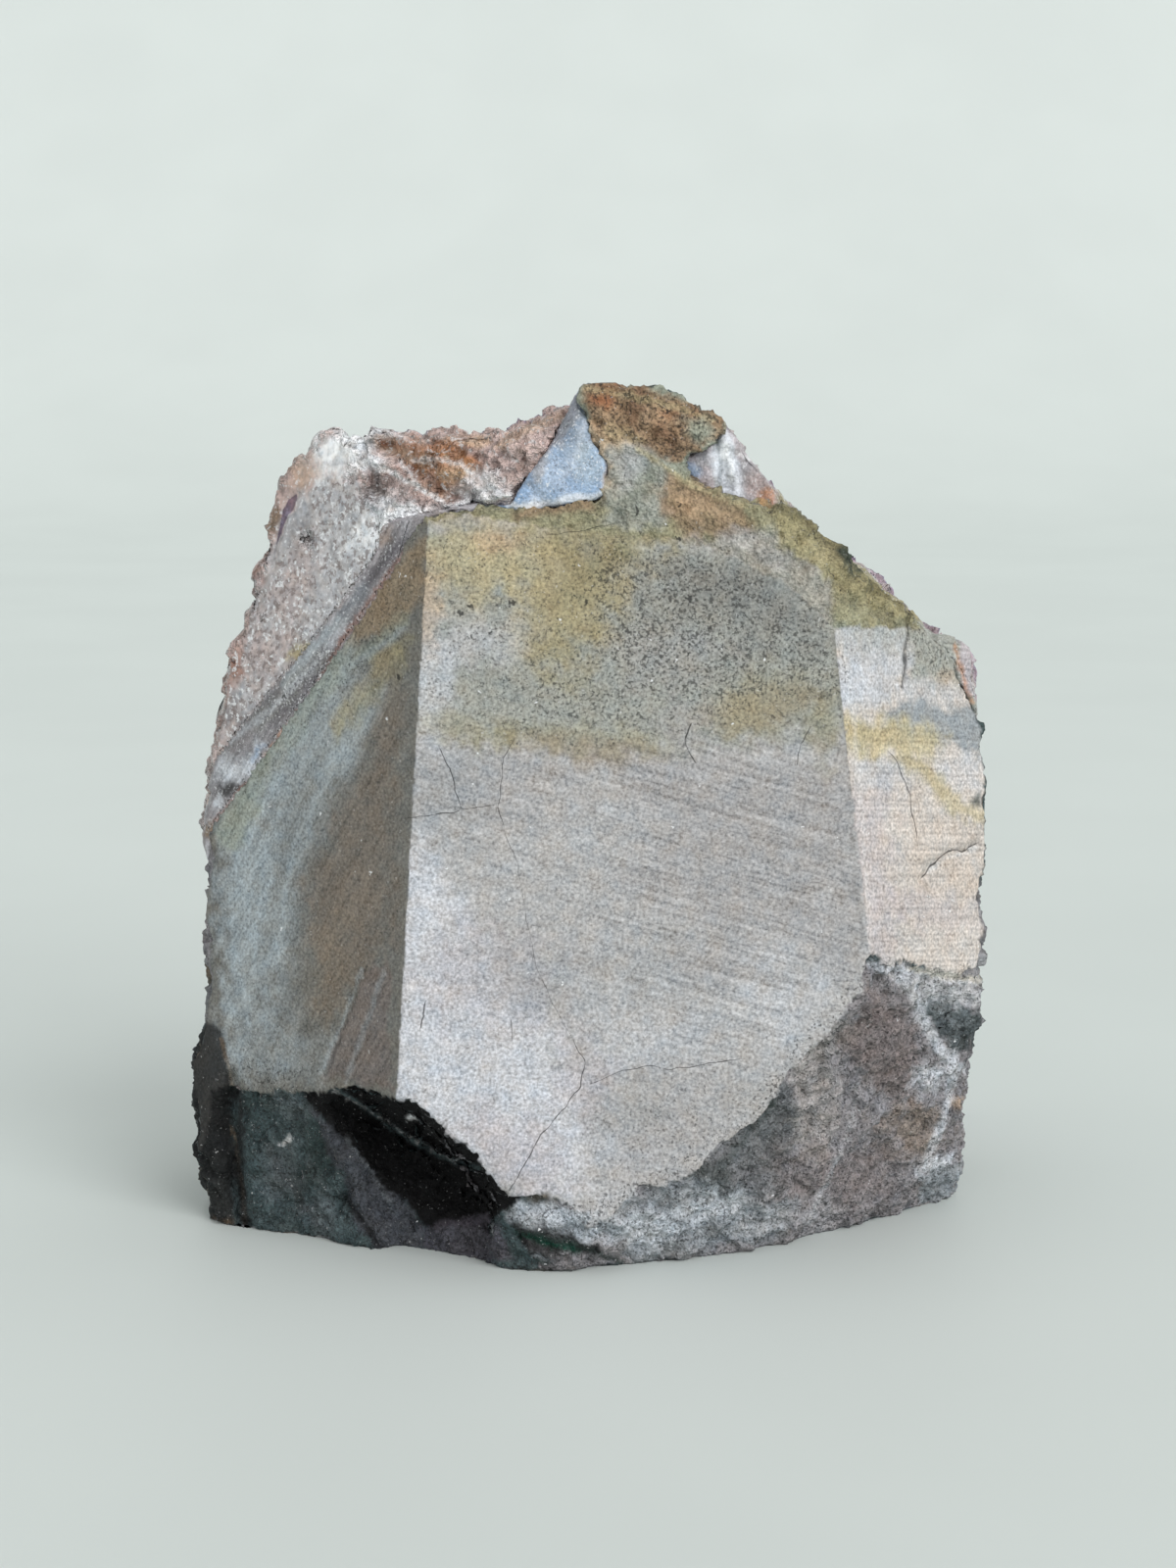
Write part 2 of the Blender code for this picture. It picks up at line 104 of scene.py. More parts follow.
class Noise:
    """Smooth gradient noise in three dimensions, the same on each run."""

    CELLS = 256
    SPREAD = 1.6  # brings one octave to about -1 to 1
    SHRINK = 0.48  # size of an octave against the one before it
    FADE = 0.55  # weight of an octave against the one before it
    APART = 13.7  # cells between one octave and the next
    SCATTER = 0.38  # how far a facet's middle strays from its cell's
    TILT_KEY = 97  # picks a tilt that isn't the way its middle strayed
    TILT = 1.2
    LEVELS = 0.5

    def __init__(self, seed: int) -> None:
        """Draw the slopes of the noise.

        Args:
            seed: picks the slopes.
        """
        draw = np.random.default_rng(seed)
        self.order = np.tile(draw.permutation(self.CELLS), 2)
        slopes = draw.normal(size=(self.CELLS, 3))
        self.slopes = slopes / np.linalg.norm(slopes, axis=1, keepdims=True)

    def _key(self, cell: np.ndarray) -> np.ndarray:
        """Pick a number from 0 to 255 for each cell."""
        at = cell % self.CELLS
        return self.order[self.order[self.order[at[:, 0]] + at[:, 1]] + at[:, 2]]

    def _layer(self, points: Points) -> Values:
        """Give one octave of the noise at each point.

        Args:
            points: places, in cells.

        Returns:
            Values between about -1 and 1.
        """
        cell = np.floor(points).astype(np.int64)
        part = points - cell
        ease = part**3 * (part * (part * 6.0 - 15.0) + 10.0)
        total = np.zeros(len(points))
        for corner in np.ndindex(2, 2, 2):
            step = np.array(corner)
            lift = ((part - step) * self.slopes[self._key(cell + step)]).sum(axis=1)
            total += lift * np.prod(np.where(step, ease, 1.0 - ease), axis=1)
        return total * self.SPREAD

    def at(self, points: Points, size: float, octaves: int = 1, ridged: bool = False) -> Values:
        """Sum octaves of noise.

        Args:
            points: places in millimetres.
            size: the size of the largest bumps.
            octaves: how many layers, each about half as large as the one before.
            ridged: fold the noise at zero, which gives sharp crests.

        Returns:
            Values between about -1 and 1.
        """
        total = np.zeros(len(points))
        weight = 1.0
        for octave in range(octaves):
            layer = self._layer(points / size + self.APART * octave)
            total += weight * (1.0 - 3.0 * np.abs(layer) if ridged else layer)
            size *= self.SHRINK
            weight *= self.FADE
        return total

    def facets(self, points: Points, size: float) -> Values:
        """Break space into cells, each with a flat face that tilts its own way.

        Args:
            points: places in millimetres.
            size: the size of the cells.

        Returns:
            The height of the faces, between about -1 and 1.
        """
        at = points / size
        cell = np.floor(at).astype(np.int64)
        nearest = np.full(len(points), np.inf)
        height = np.zeros(len(points))
        for corner in np.ndindex(3, 3, 3):
            near = cell + np.array(corner) - 1
            key = self._key(near)
            away = at - (near + 0.5 + self.SCATTER * self.slopes[key])
            reach = (away * away).sum(axis=1)
            closer = reach < nearest
            tilt = (away * self.slopes[(key + self.TILT_KEY) % self.CELLS]).sum(axis=1)
            level = self.LEVELS * self.slopes[key][:, 0]
            height = np.where(closer, self.TILT * tilt + level, height)
            nearest = np.where(closer, reach, nearest)
        return height


@dataclass(frozen=True)
class Sheet:
    """The upright sheet that the front of the cluster is laid out on, seen from one fixed point."""

    eye: tuple[float, float, float] = (0.0, -424.0, 127.0)
    aim: tuple[float, float, float] = (0.0, -29.5, 61.0)
    steps_per_mm: float = 8.0
    middle: Place = (600.0, 800.0)

    def axes(self) -> tuple[np.ndarray, np.ndarray, np.ndarray, float]:
        """Work out how the sheet stands.

        Returns:
            The directions right, up and forward, and how far it lies from the eye.
        """
        forward = np.array(self.aim) - np.array(self.eye)
        reach = float(np.linalg.norm(forward))
        forward = forward / reach
        right = np.array((1.0, 0.0, 0.0))
        return right, np.cross(right, forward), forward, reach

    def places(self, points: Points) -> np.ndarray:
        """Find where points lie on the sheet.

        Args:
            points: places in millimetres.

        Returns:
            Their steps from the left and from the top.
        """
        right, up, forward, reach = self.axes()
        away = points - np.array(self.eye)
        scale = reach * self.steps_per_mm / (away @ forward)
        across = self.middle[0] + (away @ right) * scale
        down = self.middle[1] - (away @ up) * scale
        return np.stack((across, down), axis=1)

    def facing(self, points: Points, normals: Points) -> Values:
        """Say how far each point faces the eye.

        Args:
            points: places in millimetres.
            normals: the way that the surface looks at each of them.

        Returns:
            1 straight at it, 0 edge on or away.
        """
        back = np.array(self.eye) - points
        back /= np.linalg.norm(back, axis=1, keepdims=True)
        return np.clip((back * normals).sum(axis=1), 0.0, 1.0)


SHEET = Sheet()


@dataclass(frozen=True)
class Oval:
    """An oval patch; its tilt is in degrees and falls to the right."""

    x: float
    y: float
    half_width: float
    half_height: float
    tilt: float = 0.0
    soft: float = 0.75

    def cover(self, places: np.ndarray) -> Values:
        """Say how fully the patch covers each place.

        Args:
            places: steps on the sheet.

        Returns:
            The cover of each place, from 0 to 1.
        """
        turn = math.radians(self.tilt)
        away = places - np.array((self.x, self.y))
        along = away[:, 0] * math.cos(turn) + away[:, 1] * math.sin(turn)
        aside = away[:, 1] * math.cos(turn) - away[:, 0] * math.sin(turn)
        reach = np.hypot(along / self.half_width, aside / self.half_height)
        return smooth_step(1.0 + self.soft, 1.0 - self.soft, reach)


def path_distance(places: np.ndarray, path: tuple[Place, ...]) -> tuple[Values, Values, Values]:
    """Measure each place against a path of straight pieces.

    Args:
        places: steps on the sheet.
        path: the corners of the path.

    Returns:
        The distance to the path, the side of the path as -1 or 1, and how far along the path
        the nearest point is, from 0 to 1 with the stretches past its ends left out.
    """
    corners = np.array(path, float)
    lengths = np.linalg.norm(np.diff(corners, axis=0), axis=1)
    best = np.full(len(places), np.inf)
    side = np.ones(len(places))
    along = np.zeros(len(places))
    run = 0.0
    for start, end, length in zip(corners, corners[1:], lengths):
        piece = (end - start) / length
        away = places - start
        reach = away @ piece
        held = np.clip(reach, 0.0, length)
        distance = np.hypot(away[:, 0] - held * piece[0], away[:, 1] - held * piece[1])
        nearer = distance < best
        best = np.where(nearer, distance, best)
        turn = piece[0] * away[:, 1] - piece[1] * away[:, 0]
        side = np.where(nearer, np.where(turn < 0.0, -1.0, 1.0), side)
        along = np.where(nearer, (run + reach) / lengths.sum(), along)
        run += length
    return best, side, along


@dataclass(frozen=True)
class Line:
    """A line with half a width."""

    half_width: float
    path: tuple[Place, ...]
    soft: float = 0.8

    def cover(self, places: np.ndarray) -> Values:
        """Say how fully the line covers each place of the sheet, from 0 to 1."""
        reach = path_distance(places, self.path)[0] / self.half_width
        return smooth_step(1.0 + self.soft, 1.0 - self.soft, reach)


def line(half_width: float, *path: Place) -> Line:
    """Give a line with half a width through its corners."""
    return Line(half_width, path)


@dataclass(frozen=True)
class Area:
    """An area whose edge fades over a number of steps on each side."""

    fade: float
    path: tuple[Place, ...]

    def cover(self, places: np.ndarray) -> Values:
        """Say how fully the area covers each place.

        Args:
            places: steps on the sheet.

        Returns:
            The cover of each place, from 0 to 1.
        """
        ring = self.path + self.path[:1]
        inside = np.zeros(len(places), bool)
        for (x1, y1), (x2, y2) in zip(ring, ring[1:]):
            if y1 == y2:
                continue
            level = (places[:, 1] > y1) != (places[:, 1] > y2)
            inside ^= level & (places[:, 0] < x1 + (places[:, 1] - y1) * (x2 - x1) / (y2 - y1))
        away = path_distance(places, ring)[0]
        return smooth_step(self.fade, -self.fade, np.where(inside, -away, away))


def area(fade: float, *path: Place) -> Area:
    """Give an area with a fading edge inside its corners."""
    return Area(fade, path)


Shape = Oval | Line | Area


class Tone(Enum):
    """Colours of the minerals, as display values; the three SHADED tones hold painted shade as well."""

    PALE_GREY = (204, 206, 212)
    SILVER = (190, 191, 194)
    ASH = (178, 177, 177)
    LAVENDER = (184, 176, 180)
    STONE_GREY = (166, 164, 164)
    SALT_GREY = (156, 158, 150)
    MID_GREY = (138, 138, 134)
    DARK_GREY = (100, 99, 98)
    BLUE_GREY = (146, 153, 158)
    GREEN_GREY = (150, 156, 142)
    OLIVE = (152, 144, 110)
    DARK_OLIVE = (96, 90, 66)
    OCHRE = (176, 160, 120)
    PALE_OCHRE = (188, 176, 140)
    PEACH = (196, 166, 136)
    ORANGE = (186, 128, 84)
    RUST = (138, 82, 50)
    DEEP_RUST = (84, 40, 24)
    BROWN = (142, 118, 94)
    MOSS = (82, 100, 84)
    DARK_GREEN = (44, 58, 54)
    EMERALD = (16, 58, 46)
    BLACK = (12, 11, 12)
    SOOT = (40, 40, 40)
    SLATE = (66, 80, 82)
    PURPLE_GREY = (140, 137, 140)
    PURPLE_BROWN = (120, 106, 102)
    PLUM = (78, 74, 82)
    ROSE = (190, 168, 162)
    PINK = (206, 184, 178)
    ICE = (210, 215, 222)
    SKY = (138, 164, 194)
    WHITE = (232, 232, 232)
    FROST = (248, 250, 252)
    AMETHYST = (124, 92, 150)
    # Painted shade: the tones of the left face, which turns away from the light.
    SHADED_GREY = (119, 118, 113)
    SHADED_BLUE = (176, 187, 193)
    SHADED_BROWN = (124, 115, 105)
    SHELL = (200, 193, 187)
    SEPIA = (146, 128, 104)


Strokes = tuple[tuple[Tone, float, Shape], ...]
Amounts = tuple[tuple[float, Shape], ...]


class Face(Enum):
    """The faces of the cluster."""

    BACK = 0
    LEFT = 1
    RIGHT = 2
    BASE = 3
    BROKEN = 4


@dataclass(frozen=True)
class Saw:
    """One flat sawn face, in millimetres, and the marks that the blade left on it.

    The marks fall to the right by line_tilt degrees.
    """

    FACES_APART = 40.0

    face: Face
    point: tuple[float, float, float]
    normal: tuple[float, float, float]
    line_tilt: float

    def unit(self) -> np.ndarray:
        """Give the way that the face looks."""
        return np.array(self.normal) / np.linalg.norm(self.normal)

    def height(self, points: Points) -> Values:
        """Measure how far each point stands out of the face."""
        return (points - np.array(self.point)) @ self.unit()

    def marks(self, points: Points) -> Points:
        """Measure each point against the blade's marks.

        Args:
            points: places in millimetres.

        Returns:
            Distances across and along the marks, with a number for the face.
        """
        turn = math.radians(self.line_tilt)
        across = points[:, 0] * math.sin(turn) + points[:, 2] * math.cos(turn)
        along = points[:, 0] * math.cos(turn) - points[:, 2] * math.sin(turn)
        number = np.full(len(points), self.FACES_APART * self.face.value)
        return np.stack((across, along, number), axis=1)


SAWS = (
    Saw(Face.BACK, (-5.0, -42.5, 7.0), (0.0, -0.9945, 0.1045), 16.0),
    Saw(Face.LEFT, (-24.1, -40.8, 23.4), (-0.622, -0.774, 0.118), -62.0),
    Saw(Face.RIGHT, (35.5, -39.1, 39.5), (0.710, -0.686, 0.152), 11.0),
    Saw(Face.BASE, (0.0, 0.0, 0.0), (0.0, 0.0, -1.0), 0.0),
)


@dataclass(frozen=True)
class Layers:
    """The contacts between rock, band and quartz, as height, depth and band thickness."""

    rows: tuple[tuple[float, float, float], ...] = (
        (-45.0, 28.6, 6.2), (25.0, 2.3, 6.2), (55.0, -12.3, 5.8), (80.0, -24.4, 3.6),
        (90.0, -28.8, 3.0), (97.0, -29.6, 3.2), (104.0, -29.2, 3.6), (122.0, -27.8, 4.0),
    )
    swing: float = 4.6
    bed: float = 7.0
    gap: float = 0.3

    def back(self) -> np.ndarray:
        """Give the level direction that leads from rock to quartz."""
        turn = math.radians(self.swing)
        return np.array((-math.sin(turn), math.cos(turn), 0.0))

    def behind_rock(self, points: Points) -> Values:
        """Measure, on the level, how far each point lies behind the contact of rock and band."""
        rows = np.array(self.rows)
        return points @ self.back() - np.interp(points[:, 2], rows[:, 0], rows[:, 1])

    def behind_band(self, points: Points) -> Values:
        """Measure, on the level, how far each point lies behind the contact of band and quartz."""
        rows = np.array(self.rows)
        return self.behind_rock(points) - np.interp(points[:, 2], rows[:, 0], rows[:, 2])


LAYERS = Layers()
SIDE_SAWS = SAWS[1:3]
COVERED = 0.2  # how close to a contact, or to the ground, a point is out of sight


class Wander(Enum):
    """How far the edges of shapes wander on the sheet, in steps: broadly and finely."""

    PATCH = (7.0, 4.5)
    LINE = (0.0, 2.0)
    DENT = (2.5, 2.0)
    DOSE = (9.0, 5.0)
    CRACK = (0.0, 1.6)


class Skin:
    """The points of one fine mesh, and what is worked out on them."""

    DRIFT_SIZE = 7.0
    RIPPLE_SIZE = 1.7
    MOTTLE_SIZE = 2.8
    SQUARE_ON = 0.6  # how squarely a point has to look the way of its sawn face
    CRUMB_SIZE = 1.6
    CRUMB_SHARE = 0.4

    def __init__(self, obj: bpy.types.Object) -> None:
        """Read the mesh of an object.

        Args:
            obj: the object, which stands at the origin and is in metres.
        """
        self.obj = obj
        mesh = obj.data
        count = len(mesh.vertices)
        flat = np.empty(count * 3)
        mesh.vertices.foreach_get("co", flat)
        self.points = flat.reshape(-1, 3) / MM
        ends = np.empty(len(mesh.edges) * 2, np.int64)
        mesh.edges.foreach_get("vertices", ends)
        self.ends = ends.reshape(-1, 2)
        self.sawn = np.zeros(count)
        self.face = np.full(count, Face.BROKEN.value)
        self.refresh()

    def _pair(self, seed: int, size: float) -> np.ndarray:
        """Give two values a point that change over a size in millimetres."""
        return np.stack([Noise(seed + i).at(self.points, size, 2) for i in range(2)], axis=1)

    @cached_property
    def drift(self) -> np.ndarray:
        """Give two values a point that change slowly."""
        return self._pair(7, self.DRIFT_SIZE)

    @cached_property
    def ripple(self) -> np.ndarray:
        """Give two values a point that change fast."""
        return self._pair(9, self.RIPPLE_SIZE)

    @cached_property
    def mottle(self) -> Values:
        """Give one value a point that breaks up the edges of patches."""
        return Noise(15).at(self.points, self.MOTTLE_SIZE, 4)

    def refresh(self) -> None:
        """Work out normals and sheet places again, after the points moved."""
        mesh = self.obj.data
        mesh.vertices.foreach_set("co", (self.points * MM).ravel())
        mesh.update()
        flat = np.empty(len(self.points) * 3)
        mesh.vertex_normals.foreach_get("vector", flat)
        self.normals = flat.reshape(-1, 3)
        self.places = SHEET.places(self.points)
        self.facing = SHEET.facing(self.points, self.normals)
        self.seen = smooth_step(0.0, 0.1, self.facing)

    def wandering(self, wander: Wander) -> np.ndarray:
        """Give each point's place on the sheet, moved about a little."""
        broad, fine = wander.value
        return self.places + broad * self.drift + fine * self.ripple

    def soften(self, values: np.ndarray, rounds: int) -> np.ndarray:
        """Average values with those of the neighbouring points.

        Args:
            values: a value, or a row of values, for each point.
            rounds: how many times.

        Returns:
            The softened values.
        """
        first, second = self.ends.T
        count = len(self.points)
        share = np.bincount(first, minlength=count) + np.bincount(second, minlength=count)
        columns = np.atleast_2d(values.T)
        for _ in range(rounds):
            columns = np.stack([
                0.5 * c + 0.5 * (np.bincount(first, c[second], count)
                                 + np.bincount(second, c[first], count)) / share
                for c in columns
            ])
        return columns.T.reshape(values.shape)

    def find_faces(self, near: float, broken: Values) -> None:
        """Find the points on each sawn face, and put them exactly on it.

        Args:
            near: how close to a face a point has to be, in millimetres.
            broken: more than a half where a face that the saw reached broke off later.
        """
        heights = np.stack([saw.height(self.points) for saw in SAWS], axis=1)
        facing = np.stack([self.normals @ saw.unit() for saw in SAWS], axis=1)
        on_face = (np.abs(heights) < near) & (facing > self.SQUARE_ON)
        on_face[broken > 0.5, :3] = False
        for number, saw in enumerate(SAWS):
            held = on_face[:, number]
            self.points[held] -= saw.height(self.points[held])[:, None] * saw.unit()
        nearest = np.argmin(np.where(on_face, np.abs(heights), np.inf), axis=1)
        self.sawn = on_face.any(axis=1).astype(float)
        self.face = np.where(self.sawn > 0.5, nearest, Face.BROKEN.value)
        self.refresh()

    def fray(self, seed: int, rounds: int, depth: float) -> None:
        """Nibble at the edges where sawn faces meet broken ones.

        Args:
            seed: picks the nibbles.
            rounds: how far from the edge they reach, in rounds of softening.
            depth: how deep they are, in millimetres.
        """
        edge = self.soften(1.0 - self.sawn, rounds)
        bite = edge + self.CRUMB_SHARE * Noise(seed).at(self.points, self.CRUMB_SIZE, 3)
        bite = np.where((edge > 0.02) & (self.face != Face.BASE.value), bite, 0.0)
        bitten = smooth_step(0.3, 0.75, bite) * self.sawn
        self.points -= (depth * bitten)[:, None] * self.normals
        self.sawn = np.where(bitten > 0.3, 0.0, self.sawn)
        self.face = np.where(self.sawn > 0.5, self.face, Face.BROKEN.value)
        self.refresh()

    def hold(self, inset: float, box: Box) -> None:
        """Push back what stands out of a sawn face or of the allowed box.

        Args:
            inset: how far behind each upright sawn face the points have to stay.
            box: the lowest and highest corners allowed, in metres.
        """
        for saw in SAWS:
            room = 0.0 if saw.face is Face.BASE else inset
            over = np.maximum(saw.height(self.points) + room, 0.0)
            self.points -= over[:, None] * saw.unit()
        low, high = (np.array(corner) / MM for corner in box)
        self.points = np.clip(self.points, low, high)
        self.refresh()

    def push(self, lift: Values) -> None:
        """Move each point along its normal."""
        self.points += lift[:, None] * self.normals
        self.refresh()

    def store(self, name: str, values: np.ndarray) -> None:
        """Keep values on the mesh for its material.

        Args:
            name: the name that the material reads.
            values: one number or three for each point.
        """
        colour = values.ndim == 2
        kind = "FLOAT_COLOR" if colour else "FLOAT"
        held = self.obj.data.attributes.new(name, kind, "POINT")
        if colour:
            opaque = np.concatenate((values, np.ones((len(values), 1))), axis=1)
            held.data.foreach_set("color", opaque.astype(np.float32).ravel())
        else:
            held.data.foreach_set("value", values.astype(np.float32))

    def store_blade(self) -> None:
        """Store how far each point lies across and along the marks of the blade that cut it."""
        marks = SAWS[0].marks(self.points)
        for saw in SAWS[1:]:
            marks = np.where((self.face == saw.face.value)[:, None], saw.marks(self.points), marks)
        self.store("blade", marks)


EDGE_MOTTLE = 3.0  # how strongly the fine mottle breaks up the edge of a patch


def paint(skin: Skin, colour: np.ndarray, strokes: Strokes, face: Face | None) -> None:
    """Lay patches of colour over the linear colours of a skin.

    Args:
        skin: the points.
        colour: one linear colour for each point, which is changed.
        strokes: the patches, from the lowest to the top one.
        face: the only face that they are laid on, or None for all of them.
    """
    on = skin.seen if face is None else skin.seen * (skin.face == face.value)
    some = np.flatnonzero(on > 0.0)
    wide = skin.wandering(Wander.PATCH)[some]
    close = skin.wandering(Wander.LINE)[some]
    mottle = skin.mottle[some]
    part = colour[some]
    for tone, strength, shape in strokes:
        cover = shape.cover(close if isinstance(shape, Line) else wide)
        cover = np.clip(cover + EDGE_MOTTLE * mottle * cover * (1.0 - cover), 0.0, 1.0)
        share = (cover * strength * on[some])[:, None]
        part += share * (linear(tone.value) - part)
    colour[some] = part


def carve(skin: Skin, dents: Amounts) -> None:
    """Press hollows into the front of a skin.

    Args:
        skin: the piece's points.
        dents: the hollows with their depths in millimetres; less than 0 is raised.
    """
    places = skin.wandering(Wander.DENT)
    depth = np.zeros(len(skin.points))
    for deep, shape in dents:
        depth += deep * shape.cover(places)
    skin.points += (depth * skin.seen)[:, None] * SHEET.axes()[2]
    skin.refresh()


def dose(skin: Skin, base: float, doses: Amounts) -> Values:
    """Lay patches of an amount over a base amount.

    Args:
        skin: the piece's points.
        base: the amount where no patch lies.
        doses: the patches with their amounts, the top one last.

    Returns:
        The amount at each point.
    """
    amount = np.full(len(skin.points), base)
    places = skin.wandering(Wander.DOSE)
    for wanted, shape in doses:
        amount += shape.cover(places) * (wanted - amount)
    return amount


def store_cracks(skin: Skin, lines: tuple[Line, ...]) -> None:
    """Store how far each point lies from the nearest crack, and how wide that crack is.

    Args:
        skin: the points.
        lines: the cracks, with half their widths in steps.
    """
    starts, ends, fades = (-0.02, 0.05), (1.02, 0.9), (9.0, 5.0)
    places = skin.wandering(Wander.CRACK)
    nearest = np.full(len(places), FAR_AWAY)
    signed = nearest.copy()
    width = np.zeros(len(places))
    for crack in lines:
        away, side, along = path_distance(places, crack.path)
        taper = smooth_step(*starts, along) * smooth_step(*ends, along)
        nearer = away < nearest
        signed = np.where(nearer, away * side, signed)
        width = np.where(nearer, crack.half_width * taper * smooth_step(*fades, away), width)
        nearest = np.where(nearer, away, nearest)
    skin.store("crack", signed)
    skin.store("crack_width", width * smooth_step(0.02, 0.15, skin.facing))


def blend(colour: np.ndarray, tone: Tone, share: Values) -> np.ndarray:
    """Mix a tone into linear colours by a share for each point."""
    return colour + share[:, None] * (linear(tone.value) - colour)


@dataclass(frozen=True)
class Stain:
    """A tone that soft noise spreads over stone: most where the noise passes its limits."""

    tone: Tone
    strength: float
    limits: tuple[float, float]
    seed: int
    size: float
    octaves: int = 3

    def share(self, points: Points) -> Values:
        """Give the tone's share at each point."""
        noise = Noise(self.seed).at(points, self.size, self.octaves)
        return self.strength * smooth_step(*self.limits, noise)

    def lay(self, colour: np.ndarray, points: Points) -> np.ndarray:
        """Mix the tone into the linear colours of the points."""
        return blend(colour, self.tone, self.share(points))


@dataclass(frozen=True)
class Lumps:
    """One layer of the relief of broken stone; without octaves it is made of flat facets."""

    height: float
    seed: int
    size: float
    octaves: int = 0
    ridged: bool = False

    def lift(self, points: Points) -> Values:
        """Give the layer's height at each point.

        Args:
            points: places in millimetres.

        Returns:
            Heights in millimetres.
        """
        noise = Noise(self.seed)
        if self.octaves:
            return self.height * noise.at(points, self.size, self.octaves, self.ridged)
        return self.height * noise.facets(points, self.size)


class Graph:
    """Short ways to add the nodes of one material or one node group."""

    def __init__(self, tree: bpy.types.NodeTree) -> None:
        """Work on one node tree."""
        self.tree = tree

    def add(self, kind: str, inputs: dict[str | int, object], **settings: object) -> bpy.types.Node:
        """Add a node.

        Args:
            kind: the node's type without its ShaderNode prefix.
            inputs: sockets or plain values, by socket name or number.
            settings: properties of the node.

        Returns:
            The node.
        """
        node = self.tree.nodes.new("ShaderNode" + kind)
        for name, value in settings.items():
            setattr(node, name, value)
        self.fill(node, inputs)
        return node

    def feed(self, socket: Socket, value: object) -> None:
        """Link a socket to another one, or set its value."""
        if isinstance(value, bpy.types.NodeSocket):
            self.tree.links.new(value, socket)
        else:
            socket.default_value = value

    def fill(self, node: bpy.types.Node, inputs: dict[str | int, object]) -> None:
        """Feed the inputs of a node, by name or number."""
        for name, value in inputs.items():
            self.feed(node.inputs[name], value)

    def math(self, operation: str, a: object, b: object = 0.0, c: object = 0.0) -> Socket:
        """Add a Math node and give its output."""
        return self.add("Math", {0: a, 1: b, 2: c}, operation=operation).outputs[0]

    def product(self, a: object, b: object) -> Socket:
        """Multiply two values."""
        return self.math("MULTIPLY", a, b)

    def plus(self, total: object, value: object, factor: object) -> Socket:
        """Add a value to a total, multiplied by a factor."""
        return self.math("MULTIPLY_ADD", value, factor, total)

    def inverse(self, size: object) -> Socket:
        """Turn the size of a pattern into its scale."""
        return self.math("DIVIDE", 1.0, size)

    def centred(self, noise: object) -> Socket:
        """Turn a noise value, which keeps near a half, into one from about -1 to 1."""
        return self.plus(-2.0, noise, 4.0)

    def vector(self, operation: str, a: object, b: object) -> Socket:
        """Add a Vector Math node and give its vector output."""
        return self.add("VectorMath", {0: a, 1: b}, operation=operation).outputs[0]

    def scaled(self, vector: object, scale: float) -> Socket:
        """Multiply a vector by a number."""
        return self.add("VectorMath", {0: vector, "Scale": scale}, operation="SCALE").outputs[0]

    def texture(self, place: object, scale: object, detail: float) -> bpy.types.NodeOutputs:
        """Add a noise texture and give its outputs."""
        inputs = {"Vector": place, "Scale": scale, "Detail": detail, "Roughness": 0.6}
        return self.add("TexNoise", inputs).outputs

    def noise(self, place: object, scale: object, detail: float) -> tuple[Socket, Socket, Socket]:
        """Add a noise texture and give three separate values of it."""
        colour = self.texture(place, scale, detail)["Color"]
        return tuple(self.add("SeparateColor", {0: colour}).outputs)

    def plain_noise(self, place: object, scale: object, detail: float) -> Socket:
        """Add a noise texture and give its single value, which is quicker than three."""
        return self.texture(place, scale, detail)["Fac"]

    def spread(self, value: object, low: object, high: object, to_low: object = 0.0,
               to_high: object = 1.0) -> Socket:
        """Map a range of values onto another one, eased and held at its ends."""
        inputs = {"Value": value, 1: low, 2: high, 3: to_low, 4: to_high}
        return self.add("MapRange", inputs, interpolation_type="SMOOTHSTEP").outputs[0]

    def mix(self, share: object, a: object, b: object, blend_type: str = "MIX") -> Socket:
        """Mix two colours.

        Args:
            share: how much of the second colour there is.
            a: the first colour.
            b: the second colour.
            blend_type: how they are mixed.

        Returns:
            The mixed colour.
        """
        node = self.add("Mix", {}, data_type="RGBA", blend_type=blend_type)
        self.fill(node, {0: share, 6: a, 7: b})
        return node.outputs[2]

    def shaded(self, colour: object, *levels: object) -> Socket:
        """Multiply a colour.

        Args:
            colour: the colour.
            levels: one level, or one each for red, green and blue.

        Returns:
            The darker or paler colour.
        """
        red, green, blue = levels * 3 if len(levels) == 1 else levels
        level = self.add("CombineColor", {0: red, 1: green, 2: blue}).outputs[0]
        return self.mix(1.0, colour, level, "MULTIPLY")

    def attribute(self, name: str, output: str = "Fac") -> Socket:
        """Read values that were stored on the mesh."""
        settings = {"attribute_name": name, "attribute_type": "GEOMETRY"}
        return self.add("Attribute", {}, **settings).outputs[output]

    def millimetres(self) -> Socket:
        """Give the place on the object in millimetres."""
        return self.scaled(self.add("TexCoord", {}).outputs["Object"], 1.0 / MM)

    def relief(self, strength: float, height: object) -> Socket:
        """Turn a height in millimetres into a bumped normal."""
        inputs = {"Strength": strength, "Distance": MM, "Height": height}
        return self.add("Bump", inputs).outputs["Normal"]

    def group(self, name: str, inputs: dict[str, object]) -> bpy.types.NodeOutputs:
        """Place a node group and give its outputs.

        Args:
            name: the group's name.
            inputs: sockets or plain values, by input name.

        Returns:
            Its outputs.
        """
        node = self.tree.nodes.new("ShaderNodeGroup")
        node.node_tree = bpy.data.node_groups[name]
        self.fill(node, inputs)
        return node.outputs


@dataclass(frozen=True)
class Grains:
    """When a noise value counts as a grain: past a limit that an amount and their crowding move."""

    limit: float
    by_amount: float
    by_crowding: float
    edge: float


